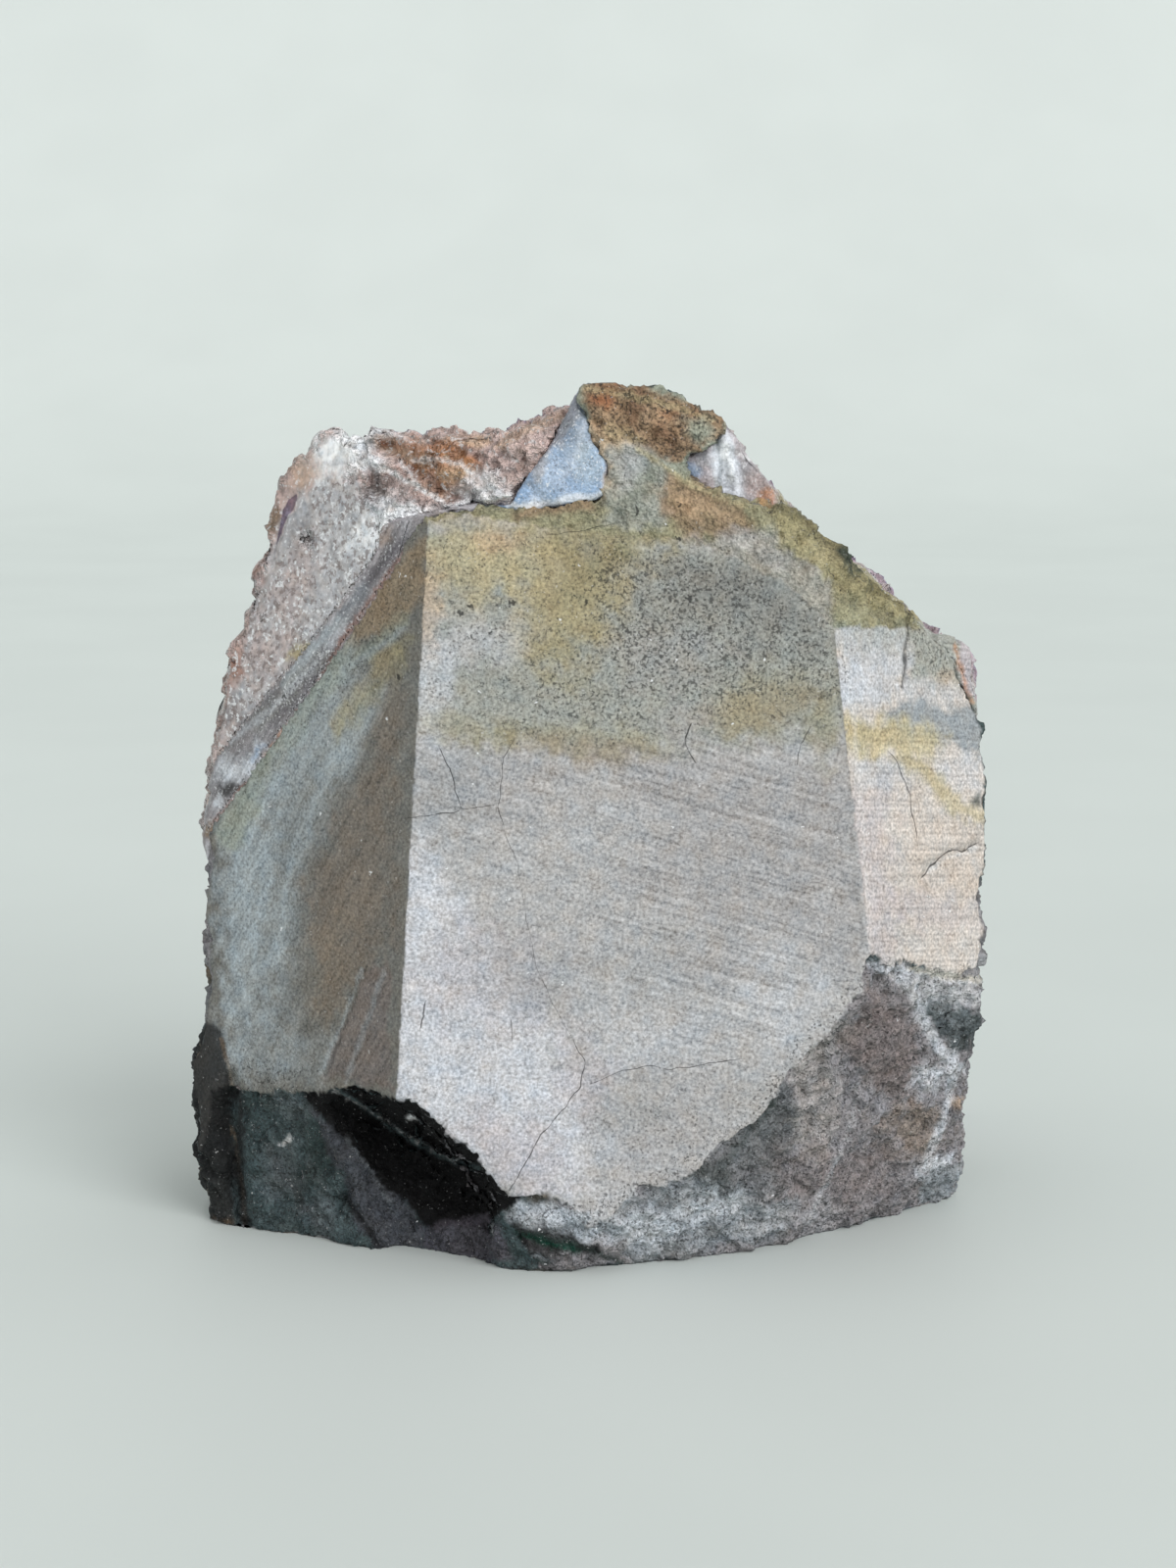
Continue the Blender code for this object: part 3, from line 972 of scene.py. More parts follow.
class Effects:
    """Effects that several materials share, each as one node group."""

    GRAIN = "mineral_grain"
    BLOTS = "dark_blots"
    CLOUD = "rock_cloud"
    RELIEF = "rock_relief"
    BLADE = "blade_marks"
    HAIRLINE = "hairline_crack"

    DARK_GRAINS = Grains(limit=0.15, by_amount=0.21, by_crowding=0.28, edge=-0.07)
    PALE_GRAINS = Grains(limit=0.85, by_amount=-0.18, by_crowding=-0.28, edge=0.11)
    CROWD_SCALE = 0.31  # scale of the crowds against that of the grains

    WOBBLE_SCALE = 2.4  # what bends the outlines of blots
    WOBBLE = 0.9
    BLOT_RADIUS = (0.12, 0.34)
    BLOT_CORE = 0.7  # the share of a blot that is fully dark
    FLECK_EDGE = (0.15, 0.09)

    STREAKS = (1.5, 0.055, 1.0)  # scale of the scratches, across and along the marks
    BENDS = (0.5, 0.03, 1.0)  # scale at which the ridges bend and fade
    BEND = 0.8  # how far ridges bend, in ridges
    RIDGE_HEIGHT = 0.5
    STREAK_HEIGHT = 4.5

    @staticmethod
    def start(name: str, takes: dict[str, float | None], gives: list[str]) -> tuple[Graph, dict, dict]:
        """Make an empty group.

        Args:
            name: the group's name.
            takes: input names with their starting values, or None for a vector.
            gives: output names.

        Returns:
            The graph, the input sockets by name and the output sockets by name.
        """
        tree = bpy.data.node_groups.new(name, "ShaderNodeTree")
        for key, value in takes.items():
            kind = "NodeSocketVector" if value is None else "NodeSocketFloat"
            socket = tree.interface.new_socket(key, in_out="INPUT", socket_type=kind)
            if value is not None:
                socket.default_value = value
        for key in gives:
            tree.interface.new_socket(key, in_out="OUTPUT", socket_type="NodeSocketFloat")
        entry = tree.nodes.new("NodeGroupInput")
        leave = tree.nodes.new("NodeGroupOutput")
        return Graph(tree), dict(entry.outputs.items()), dict(leave.inputs.items())

    def grain(self) -> None:
        """Fine uneven grain, with dark and pale grains as many as the amounts say."""
        takes = {"Place": None, "Size": 0.4, "Dark Amount": 0.3, "Pale Amount": 0.3}
        graph, given, out = self.start(self.GRAIN, takes, ["Grain", "Dark", "Pale"])
        scale = graph.inverse(given["Size"])
        first, *values = graph.noise(given["Place"], scale, 3.0)
        crowds = graph.noise(given["Place"], graph.product(scale, self.CROWD_SCALE), 2.0)
        graph.feed(out["Grain"], graph.centred(first))
        kinds = {"Dark": self.DARK_GRAINS, "Pale": self.PALE_GRAINS}
        for (name, kind), value, crowd in zip(kinds.items(), values, crowds):
            limit = graph.plus(kind.limit, given[f"{name} Amount"], kind.by_amount)
            limit = graph.plus(limit, crowd, kind.by_crowding)
            graph.feed(out[name], graph.spread(value, limit, graph.math("ADD", limit, kind.edge)))

    def blots(self) -> None:
        """Separate angular dark grains, as many as Amount says, and a few small pale flecks."""
        takes = {"Place": None, "Size": 1.0, "Amount": 0.1, "Fleck Share": 0.05}
        graph, given, out = self.start(self.BLOTS, takes, ["Mask", "Flecks"])
        wobble = graph.texture(given["Place"], self.WOBBLE_SCALE, 0.0)["Color"]
        place = graph.vector("ADD", given["Place"], graph.scaled(wobble, self.WOBBLE))
        inputs = {"Vector": place, "Scale": graph.inverse(given["Size"]), "Randomness": 1.0}
        cells = graph.add("TexVoronoi", inputs).outputs
        pick = graph.add("SeparateColor", {"Color": cells["Color"]}).outputs
        radius = graph.spread(pick[1], 0.0, 1.0, *self.BLOT_RADIUS)
        body = graph.spread(cells["Distance"], radius, graph.product(radius, self.BLOT_CORE))
        chosen = graph.math("LESS_THAN", pick[0], given["Amount"])
        graph.feed(out["Mask"], graph.product(body, chosen))
        fleck = graph.spread(cells["Distance"], *self.FLECK_EDGE)
        rare = graph.math("LESS_THAN", pick[2], given["Fleck Share"])
        graph.feed(out["Flecks"], graph.product(fleck, rare))

    def cloud(self) -> None:
        """Soft variation of brightness and warmth, both around 0."""
        takes = {"Place": None, "Size": 3.0}
        graph, given, out = self.start(self.CLOUD, takes, ["Shade", "Warmth"])
        first, second, _ = graph.noise(given["Place"], graph.inverse(given["Size"]), 2.0)
        graph.feed(out["Shade"], graph.centred(first))
        graph.feed(out["Warmth"], graph.centred(second))

    def relief(self) -> None:
        """The rough height of a broken face, around 0."""
        graph, given, out = self.start(self.RELIEF, {"Place": None, "Size": 2.0}, ["Height"])
        lumps = graph.plain_noise(given["Place"], graph.inverse(given["Size"]), 3.0)
        graph.feed(out["Height"], graph.centred(lumps))

    def blade(self) -> None:
        """Ridges and scratches that a saw blade leaves, from distances across and along them."""
        takes = {"Blade": None, "Pitch": 0.66, "Regular": 0.5}
        graph, given, out = self.start(self.BLADE, takes, ["Height"])
        streaks = graph.plain_noise(graph.vector("MULTIPLY", given["Blade"], self.STREAKS), 1.0, 2.0)
        bend = graph.plain_noise(graph.vector("MULTIPLY", given["Blade"], self.BENDS), 1.0, 0.0)
        across = graph.add("SeparateXYZ", {0: given["Blade"]}).outputs[0]
        turns = graph.plus(graph.math("DIVIDE", across, given["Pitch"]), bend, self.BEND)
        wave = graph.math("SINE", graph.product(turns, math.tau))
        ridges = graph.product(wave, graph.product(given["Regular"], self.RIDGE_HEIGHT))
        ridges = graph.product(ridges, graph.spread(bend, 0.3, 0.6, 0.3, 1.0))
        ridges = graph.math("SUBTRACT", ridges, self.STREAK_HEIGHT / 2.0)
        graph.feed(out["Height"], graph.plus(ridges, streaks, self.STREAK_HEIGHT))

    def hairline(self) -> None:
        """A thin broken line where a signed distance is near 0."""
        least, soft_edge = 0.0001, 0.3
        takes = {"Distance": FAR_AWAY, "Width": 0.0, "Breaks": 0.0}
        graph, given, out = self.start(self.HAIRLINE, takes, ["Mask"])
        away = graph.math("ABSOLUTE", given["Distance"])
        uneven = graph.spread(given["Breaks"], -0.7, 0.5, 0.3, 1.3)
        edge = graph.plus(least, given["Width"], uneven)
        graph.feed(out["Mask"], graph.spread(away, edge, graph.product(edge, soft_edge)))

    def build(self) -> None:
        """Make all the groups."""
        for make in (self.grain, self.blots, self.cloud, self.relief, self.blade, self.hairline):
            make()


def new_material(name: str) -> tuple[bpy.types.Material, Graph, bpy.types.Node, bpy.types.Node]:
    """Make a material.

    Args:
        name: its name.

    Returns:
        The material, its graph, its Principled shader and its output node.
    """
    material = bpy.data.materials.new(name)
    material.use_nodes = True
    nodes = material.node_tree.nodes
    return material, Graph(material.node_tree), nodes["Principled BSDF"], nodes["Material Output"]


@dataclass(frozen=True)
class StoneFinish:
    """Opaque stone: broad colour from the mesh, with grain, blots, blade marks and cracks, and painted shade
    and light on the relief of broken faces.
    """

    FULL_PEPPER = 0.8  # the pepper at which grains are at their full strength
    DARK_LEAST = 0.35  # share of that strength without any pepper
    PALE_LEAST = 0.6
    BLOT_SIZE = 1.3
    BLOT_STRENGTH = 0.8
    GRAIN_ROUGHNESS = 0.08
    BLADE_HEIGHT = 0.035
    GROOVE_DEPTH = 0.15

    name: str
    dark: Tone = Tone.SOOT
    pale: Tone = Tone.WHITE
    grain_size: float = 0.38
    grain_contrast: float = 0.54
    dark_strength: float = 0.68
    pale_amount: float = 0.35
    pale_strength: float = 0.5
    cloud_size: float = 2.6
    cloud_contrast: float = 0.10
    warmth: float = 0.05
    blade_contrast: float = 0.26
    # Painted shade and light: broken faces are darker in the hollows of their relief and paler on its lumps.
    relief_shading: float = 0.38
    broken_gain: float = 0.12
    relief: float = 1.3
    relief_size: float = 2.2
    flecks: float = 0.05
    crack_strength: float = 0.8
    roughness: float = 0.80
    polish: float = 0.10
    specular: float = 0.25
    bump: float = 0.6

    def material(self) -> bpy.types.Material:
        """Build the material.

        Returns:
            The material.
        """
        material, graph, shader, _ = new_material(self.name)
        place, sawn, pepper = graph.millimetres(), graph.attribute("sawn"), graph.attribute("pepper")
        grain, dark, pale = graph.group(Effects.GRAIN, {
            "Place": place, "Size": self.grain_size, "Dark Amount": pepper,
            "Pale Amount": self.pale_amount,
        })
        shade, warmth = graph.group(Effects.CLOUD, {"Place": place, "Size": self.cloud_size})
        lumps, = graph.group(Effects.RELIEF, {"Place": place, "Size": self.relief_size})
        cut, = graph.group(Effects.BLADE, {
            "Blade": graph.attribute("blade", "Vector"), "Regular": graph.attribute("regular"),
        })
        cut = graph.product(cut, graph.product(graph.attribute("lines"), sawn))
        rough = graph.math("SUBTRACT", 1.0, sawn)
        broken = graph.product(rough, lumps)
        level = 1.0
        # The broken faces' relief height also lightens and darkens the colour: painted shade in hollows,
        # painted light on lumps.
        for value, contrast in (
            (grain, self.grain_contrast), (shade, self.cloud_contrast), (cut, self.blade_contrast),
            (rough, self.broken_gain), (broken, self.relief_shading),
        ):
            level = graph.plus(level, value, contrast)
        warm, cold = graph.plus(level, warmth, self.warmth), graph.plus(level, warmth, -self.warmth)
        colour = graph.shaded(graph.attribute("tint", "Color"), warm, level, cold)
        for mask, tone, strength, least in (
            (dark, self.dark, self.dark_strength, self.DARK_LEAST),
            (pale, self.pale, self.pale_strength, self.PALE_LEAST),
        ):
            strong = graph.spread(pepper, 0.0, self.FULL_PEPPER, least * strength, strength)
            colour = graph.mix(graph.product(mask, strong), colour, rgba(tone.value))
        blot, fleck = graph.group(Effects.BLOTS, {
            "Place": place, "Size": self.BLOT_SIZE, "Amount": graph.attribute("blots"),
            "Fleck Share": self.flecks,
        })
        line_inputs = {"Distance": graph.attribute("crack"), "Width": graph.attribute("crack_width")}
        crack, = graph.group(Effects.HAIRLINE, {**line_inputs, "Breaks": shade})
        groove, = graph.group(Effects.HAIRLINE, line_inputs)
        for mask, tone, strength in (
            (blot, Tone.SOOT, self.BLOT_STRENGTH), (fleck, Tone.FROST, self.BLOT_STRENGTH),
            (crack, Tone.SOOT, self.crack_strength),
        ):
            colour = graph.mix(graph.product(mask, strength), colour, rgba(tone.value))
        matt = graph.plus(self.roughness, grain, self.GRAIN_ROUGHNESS)
        height = graph.plus(graph.product(broken, self.relief), cut, self.BLADE_HEIGHT)
        height = graph.plus(height, groove, -self.GROOVE_DEPTH)
        graph.fill(shader, {
            "Base Color": colour, "Roughness": graph.plus(matt, sawn, -self.polish),
            "Normal": graph.relief(self.bump, height), "Specular IOR Level": self.specular,
        })
        return material


@dataclass(frozen=True)
class CrystalFinish:
    """Clear violet quartz, paler at the root of each crystal."""

    VEIL = (0.5, 0.7, 1.0, 0.6)  # where pale veils start and end, and the violet they leave
    ROUGHNESS = (0.5, 0.75, 0.02, 0.10)  # where dull patches start and end, and how rough they make it
    STEPS = 0.12  # strength of the growth steps

    name: str = "amethyst_glass"
    ior: float = 1.544
    density: float = 48.0
    absorbed: tuple[float, float, float] = (0.60, 0.38, 0.80)
    root_tone: tuple[int, int, int] = (240, 236, 244)
    tip_tone: tuple[int, int, int] = (206, 176, 230)

    def material(self) -> bpy.types.Material:
        """Build the material.

        Returns:
            The material.
        """
        material, graph, shader, output = new_material(self.name)
        place = graph.millimetres()
        veil, patch, steps = graph.noise(place, 0.5, 3.0)
        share = graph.product(graph.attribute("tip"), graph.spread(veil, *self.VEIL))
        colour = graph.mix(share, rgba(self.root_tone), rgba(self.tip_tone))
        graph.fill(shader, {
            "Base Color": colour, "IOR": self.ior, "Transmission Weight": 1.0,
            "Roughness": graph.spread(patch, *self.ROUGHNESS), "Normal": graph.relief(self.STEPS, steps),
        })
        absorption = {"Color": (*self.absorbed, 1.0), "Density": self.density}
        graph.feed(output.inputs["Volume"], graph.add("VolumeAbsorption", absorption).outputs[0])
        return material


def new_object(name: str, data: bpy.types.ID) -> bpy.types.Object:
    """Make an object and place it in the scene.

    Args:
        name: its name.
        data: its mesh, light or camera.

    Returns:
        The object.
    """
    obj = bpy.data.objects.new(name, data)
    bpy.context.scene.collection.objects.link(obj)
    return obj


def bake(obj: bpy.types.Object) -> None:
    """Replace an object's mesh by the one that its modifiers make.

    Args:
        obj: the object.
    """
    graph = bpy.context.evaluated_depsgraph_get()
    mesh = bpy.data.meshes.new_from_object(obj.evaluated_get(graph))
    obj.modifiers.clear()
    old = obj.data
    obj.data = mesh
    bpy.data.meshes.remove(old)


def plain_copy(node: str, name: str) -> bpy.types.Object:
    """Copy a CAD node, with its corners joined again.

    Args:
        node: the node's name.
        name: the copy's name.

    Returns:
        The copy.
    """
    mesh = bpy.data.objects[node].data.copy()
    mesh.name = name
    mesh.materials.clear()
    bm = bmesh.new()
    bm.from_mesh(mesh)
    bmesh.ops.remove_doubles(bm, verts=bm.verts, dist=0.001 * MM)
    bm.to_mesh(mesh)
    bm.free()
    return new_object(name, mesh)


def refine(obj: bpy.types.Object, voxel: float, hidden: Callable[[Points], np.ndarray]) -> None:
    """Give an object an even, fine mesh, with larger faces where it is out of sight.

    Args:
        obj: the object.
        voxel: the size of its faces in millimetres.
        hidden: says of points whether they are on a face that another piece covers.
    """
    margin_rounds, kept_share = 8, 0.08
    remesh = obj.modifiers.new("even", "REMESH")
    remesh.mode = "VOXEL"
    remesh.voxel_size = voxel * MM
    bake(obj)
    skin = Skin(obj)
    shown = skin.soften(np.where(hidden(skin.points), 0.0, 1.0), margin_rounds)
    covered = np.flatnonzero(shown < 0.01)
    group = obj.vertex_groups.new(name="covered")
    group.add([int(i) for i in covered], 1.0, "REPLACE")
    thin = obj.modifiers.new("thin", "DECIMATE")
    thin.ratio = 1.0 - (1.0 - kept_share) * len(covered) / len(skin.points)
    thin.vertex_group = group.name
    bake(obj)
    obj.vertex_groups.clear()


def cutter(name: str, bm: bmesh.types.BMesh) -> bpy.types.Object:
    """Turn a bmesh in millimetres into a hidden object in metres.

    Args:
        name: the object's name.
        bm: the bmesh, which is used up.

    Returns:
        The object.
    """
    bmesh.ops.recalc_face_normals(bm, faces=bm.faces)
    bmesh.ops.scale(bm, vec=(MM, MM, MM), verts=bm.verts)
    mesh = bpy.data.meshes.new(name)
    bm.to_mesh(mesh)
    bm.free()
    obj = new_object(name, mesh)
    obj.hide_render = True
    return obj


def layer_wall(name: str, front: float, back: float) -> bpy.types.Object:
    """Make a hidden block between two surfaces that follow the contact of band and quartz.

    Args:
        name: the block's name.
        front: how far behind the contact it starts, in millimetres.
        back: how far behind the contact it ends.

    Returns:
        The block.
    """
    half_span = 90.0
    ring = [(y + thick + front, z) for z, y, thick in LAYERS.rows]
    ring += [(y + thick + back, z) for z, y, thick in reversed(LAYERS.rows)]
    bm = bmesh.new()
    face = bm.faces.new([bm.verts.new((-half_span, y, z)) for y, z in ring])
    swept = bmesh.ops.extrude_face_region(bm, geom=[face])
    verts = [g for g in swept["geom"] if isinstance(g, bmesh.types.BMVert)]
    bmesh.ops.translate(bm, verts=verts, vec=(2.0 * half_span, 0.0, 0.0))
    swing = Matrix.Rotation(math.radians(LAYERS.swing), 3, "Z")
    bmesh.ops.rotate(bm, verts=bm.verts, cent=(0.0, 0.0, 0.0), matrix=swing)
    return cutter(name, bm)


def trim(
    obj: bpy.types.Object, other: bpy.types.Object, operation: str, solver: str = "MANIFOLD"
) -> None:
    """Cut or join a mesh with a hidden one, and drop the hidden one.

    Args:
        obj: the mesh that is changed.
        other: the hidden one.
        operation: the Boolean operation.
        solver: how it is worked out; the exact solver also joins parts that cross each other.
    """
    modifier = obj.modifiers.new("trim", "BOOLEAN")
    modifier.operation = operation
    modifier.solver = solver
    if solver == "EXACT":
        modifier.use_self = True
    modifier.object = other
    bake(obj)
    spent = other.data
    bpy.data.objects.remove(other)
    bpy.data.meshes.remove(spent)


def tuck_under(skin: Skin, behind: Values, overlap: float) -> None:
    """Stretch a layer forward under the one before it, so that no dark gap shows between them.

    Args:
        skin: the layer.
        behind: how far each point lies behind the contact, on the level.
        overlap: how far the layer reaches past the contact, in millimetres.
    """
    gap, full, slack = LAYERS.gap, 1.0, 0.15
    reach = full - gap
    share = np.clip((behind - gap) / reach, 0.0, 1.0)
    wanted = share * (reach + overlap) - overlap + gap
    stretched = (behind > gap - slack) & (behind < gap + reach)
    moved = np.where(stretched, wanted - behind, 0.0)
    skin.points += moved[:, None] * LAYERS.back()
    skin.refresh()


def settle(obj: bpy.types.Object, material: bpy.types.Material, node: str, smooth: bool) -> None:
    """Give a finished piece its material and its place in the frame.

    Args:
        obj: the piece.
        material: what it is made of.
        node: the CAD node that it stands for.
        smooth: shade it smooth rather than flat.
    """
    obj.data.materials.clear()
    obj.data.materials.append(material)
    obj.data.polygons.foreach_set("use_smooth", [smooth] * len(obj.data.polygons))
    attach(obj, ROOT)
    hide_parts(node)


@dataclass
class StonePiece:
    """One layer of stone: how its mesh is made and how it is dressed."""

    FAINT_RIDGES = 0.25  # regular ridges on the faces where the blade left few

    box: Box
    node: str = ""
    name: str = ""
    slot: str = ""
    voxel: float = 0.42
    near: float = 0.35
    inset: float = 0.0
    pepper: float = 0.3
    line_strength: float = 0.6
    finish: StoneFinish = StoneFinish("stone")
    strokes: tuple[tuple[Face | None, Strokes], ...] = ()
    dents: Amounts = ()
    peppers: Amounts = ()
    blots: Amounts = ()
    lines: Amounts = ()
    cracks: tuple[Line, ...] = ()
    relief: tuple[Lumps, ...] = ()
    ground: Tone = Tone.ASH
    stains: tuple[Stain, ...] = ()

    def hidden(self, points: Points) -> np.ndarray:
        """Say which points lie on a face that another piece covers."""
        raise NotImplementedError

    def start(self) -> bpy.types.Object:
        """Copy the CAD node."""
        return plain_copy(self.node, self.name)

    def broken(self, skin: Skin) -> Values:
        """Say where a face that the saw reached broke off later."""
        return np.zeros(len(skin.points))

    def roughen(self, skin: Skin) -> None:
        """Give the broken faces their relief."""
        raise NotImplementedError

    def lift(self, skin: Skin) -> Values:
        """Add up the layers of the relief."""
        return sum(layer.lift(skin.points) for layer in self.relief)

    def rough(self, skin: Skin, covered: np.ndarray) -> Values:
        """Say how rough each point is: 1 on broken faces, 0 on sawn and covered ones."""
        return skin.soften(np.where(covered, 0.0, 1.0 - skin.sawn), 1)

    def base(self, skin: Skin) -> np.ndarray:
        """Give each point the colour that lies under the strokes.

        Args:
            skin: the piece's points.

        Returns:
            Linear colours.
        """
        colour = np.tile(linear(self.ground.value), (len(skin.points), 1))
        for stain in self.stains:
            colour = stain.lay(colour, skin.points)
        return colour

    def build(self) -> Skin:
        """Make the mesh, with sawn faces flat and broken ones rough.

        Returns:
            Its points.
        """
        obj = self.start()
        refine(obj, self.voxel, self.hidden)
        skin = Skin(obj)
        skin.find_faces(self.near, self.broken(skin))
        self.roughen(skin)
        carve(skin, self.dents)
        skin.hold(self.inset, self.box)
        return skin

    def dress(self, skin: Skin) -> bpy.types.Object:
        """Colour the mesh and give it its material.

        Args:
            skin: the piece's points.

        Returns:
            The finished piece.
        """
        colour = self.base(skin)
        for face, strokes in self.strokes:
            paint(skin, colour, strokes, face)
        skin.store("tint", colour)
        skin.store("sawn", skin.sawn)
        skin.store("pepper", dose(skin, self.pepper, self.peppers))
        skin.store("blots", dose(skin, 0.0, self.blots))
        skin.store("lines", dose(skin, self.line_strength, self.lines))
        skin.store("regular", np.where(skin.face == Face.RIGHT.value, 1.0, self.FAINT_RIDGES))
        skin.store_blade()
        store_cracks(skin, self.cracks)
        settle(skin.obj, self.finish.material(), self.node, True)
        return skin.obj


# Shapes and paths that more than one table uses.
EVERYWHERE = area(1, (0, 0), (1200, 0), (1200, 1600), (0, 1600))
HOLLOW = area(
    2, (300, 1098), (402, 1104), (452, 1130), (528, 1222), (496, 1256), (434, 1252), (388, 1206), (326, 1134),
)
FISSURE = ((997, 860), (981, 870), (974, 866), (962, 872), (947, 887), (937, 899))
CHIPPED_EDGE = ((925, 604), (926, 650), (921, 700))
CLEFT = ((352, 1222), (372, 1250), (390, 1275))

BACK_STROKES: Strokes = (
    (Tone.ASH, 1.0, EVERYWHERE),
    # Paler and bluer at the lower left: the stone's own tone, partly painted bluish light.
    (Tone.PALE_GREY, 0.8, area(
        26, (395, 850), (440, 860), (480, 960), (560, 1050), (610, 1230), (480, 1190), (395, 1115))),
    (Tone.PALE_GREY, 0.6, Oval(570, 1140, 80, 60, 20)),
    (Tone.LAVENDER, 0.5, Oval(520, 1180, 60, 34, 30)),
    (Tone.LAVENDER, 0.4, Oval(500, 1000, 70, 50)),
    (Tone.STONE_GREY, 0.8, area(30, (630, 770), (880, 770), (885, 990), (740, 960), (640, 900))),
    (Tone.STONE_GREY, 0.7, Oval(490, 800, 100, 40)),
    (Tone.BLUE_GREY, 0.3, Oval(450, 790, 50, 70)),
    (Tone.ASH, 0.6, Oval(640, 850, 40, 30)),
    (Tone.BLUE_GREY, 0.3, Oval(545, 1000, 60, 34)),
    (Tone.BLUE_GREY, 0.25, Oval(680, 1000, 50, 40)),
    (Tone.STONE_GREY, 0.6, Oval(745, 985, 60, 24)),
    (Tone.SILVER, 0.7, Oval(660, 1055, 60, 34)),
    (Tone.SILVER, 0.7, Oval(800, 1020, 44, 50, -30)),
    (Tone.STONE_GREY, 0.6, Oval(680, 1150, 66, 50, -14)),
    (Tone.MID_GREY, 0.3, Oval(640, 1130, 40, 30)),
    (Tone.LAVENDER, 0.4, Oval(590, 1100, 30, 40)),
    (Tone.SALT_GREY, 0.85, area(20, (405, 530), (870, 560), (872, 748), (640, 772), (405, 738))),
    (Tone.MID_GREY, 0.6, Oval(765, 612, 105, 50, 14)),
    (Tone.MID_GREY, 0.3, Oval(660, 600, 44, 50)),
    (Tone.DARK_GREY, 0.2, Oval(760, 604, 70, 24, 14)),
    (Tone.STONE_GREY, 0.4, Oval(680, 670, 60, 30)),
    (Tone.PALE_GREY, 0.6, Oval(432, 690, 34, 66)),
    (Tone.SILVER, 0.7, Oval(480, 655, 50, 24, -10)),
    (Tone.OCHRE, 0.5, area(
        34, (436, 510), (720, 520), (660, 575), (600, 660), (560, 660), (520, 600), (470, 620),
        (430, 600))),
    (Tone.OCHRE, 0.45, Oval(575, 612, 50, 60, 10)),
    (Tone.OLIVE, 0.45, Oval(592, 620, 40, 74, 10)),
    (Tone.DARK_OLIVE, 0.25, Oval(600, 570, 40, 30)),
    (Tone.OLIVE, 0.5, Oval(610, 545, 80, 14, 3)),
    (Tone.GREEN_GREY, 0.5, Oval(440, 556, 26, 20)),
    (Tone.PALE_OCHRE, 0.6, Oval(495, 572, 60, 30, 8)),
    (Tone.PEACH, 0.45, Oval(434, 620, 18, 50, 6)),
    (Tone.PEACH, 0.5, Oval(508, 549, 28, 10, 8)),
    (Tone.OLIVE, 0.55, Oval(478, 746, 44, 15, 6)),
    (Tone.OLIVE, 0.4, Oval(600, 758, 80, 18, 4)),
    (Tone.BROWN, 0.3, Oval(600, 768, 66, 14, 6)),
    (Tone.OLIVE, 0.45, Oval(775, 718, 66, 28, -14)),
    (Tone.BROWN, 0.2, Oval(775, 722, 60, 20, -14)),
    (Tone.OCHRE, 0.25, Oval(745, 728, 44, 18, -14)),
    (Tone.STONE_GREY, 0.5, Oval(700, 730, 30, 22, -20)),
    (Tone.OLIVE, 0.4, Oval(838, 745, 18, 36)),
    (Tone.STONE_GREY, 0.5, Oval(706, 752, 20, 18)),
    (Tone.PALE_OCHRE, 0.4, line(3, (630, 530), (665, 545), (700, 541))),
    (Tone.WHITE, 0.3, Oval(838, 914, 7, 6)),
    # Painted highlight along the left and lower left edges of the sawn back.
    (Tone.PALE_GREY, 0.55, line(
        3, (404, 800), (396, 900), (395, 1000), (397, 1100), (460, 1150), (489, 1177), (512, 1218))),
    # Painted shade: a thin dark line beside the edge with the right face.
    (Tone.DARK_GREY, 0.3, line(2, (852, 650), (858, 720), (866, 800), (872, 880), (880, 960))),
)

RIGHT_STROKES: Strokes = (
    # The warm ground of the right face is partly painted warm light.
    (Tone.SHELL, 1.0, EVERYWHERE),
    (Tone.PEACH, 0.14, Oval(955, 880, 50, 60)),
    (Tone.LAVENDER, 0.5, area(24, (850, 800), (905, 800), (915, 990), (880, 990))),
    (Tone.LAVENDER, 0.35, Oval(950, 930, 60, 20, 8)),
    (Tone.SALT_GREY, 0.9, area(
        12, (830, 580), (1000, 600), (1000, 706), (925, 700), (925, 660), (845, 664))),
    (Tone.SILVER, 0.8, area(12, (840, 590), (925, 600), (925, 700), (850, 664))),
    (Tone.GREEN_GREY, 0.3, Oval(905, 630, 30, 26)),
    (Tone.SILVER, 0.5, Oval(872, 622, 22, 14)),
    (Tone.SILVER, 0.9, area(10, (840, 666), (912, 670), (908, 722), (850, 716))),
    (Tone.PALE_GREY, 0.5, Oval(880, 694, 26, 18)),
    (Tone.PEACH, 0.4, Oval(966, 694, 12, 9)),
    (Tone.SILVER, 0.5, area(8, (918, 696), (990, 700), (990, 718), (914, 718))),
    (Tone.BLUE_GREY, 0.9, area(8, (908, 718), (1010, 722), (1010, 774), (968, 760), (905, 744))),
    (Tone.PALE_OCHRE, 0.8, area(
        12, (850, 730), (925, 734), (960, 750), (950, 774), (900, 770), (855, 764))),
    (Tone.OCHRE, 0.45, Oval(886, 748, 36, 9, 4)),
    (Tone.SILVER, 0.6, area(9, (864, 776), (924, 780), (930, 806), (868, 808))),
    (Tone.PALE_GREY, 0.4, area(9, (945, 770), (1006, 774), (1006, 806), (962, 800))),
    (Tone.PALE_OCHRE, 0.65, line(9, (918, 772), (944, 786), (958, 804), (976, 822), (1000, 834))),
    (Tone.OCHRE, 0.35, line(5, (926, 774), (950, 790), (962, 808))),
    (Tone.DARK_GREEN, 0.8, Oval(1001, 815, 4, 8)),
    (Tone.SOOT, 0.8, line(1.5, (925, 604), (927, 634), (924, 660), (921, 700))),
    # Painted highlight along the edge with the sawn back.
    (Tone.WHITE, 0.2, line(2.2, (862, 668), (874, 760), (882, 860), (888, 980))),
    (Tone.MID_GREY, 0.3, line(6, (944, 884), (966, 870), (998, 862))),
    (Tone.WHITE, 0.4, line(2, (946, 890), (964, 876), (980, 873), (998, 865))),
)
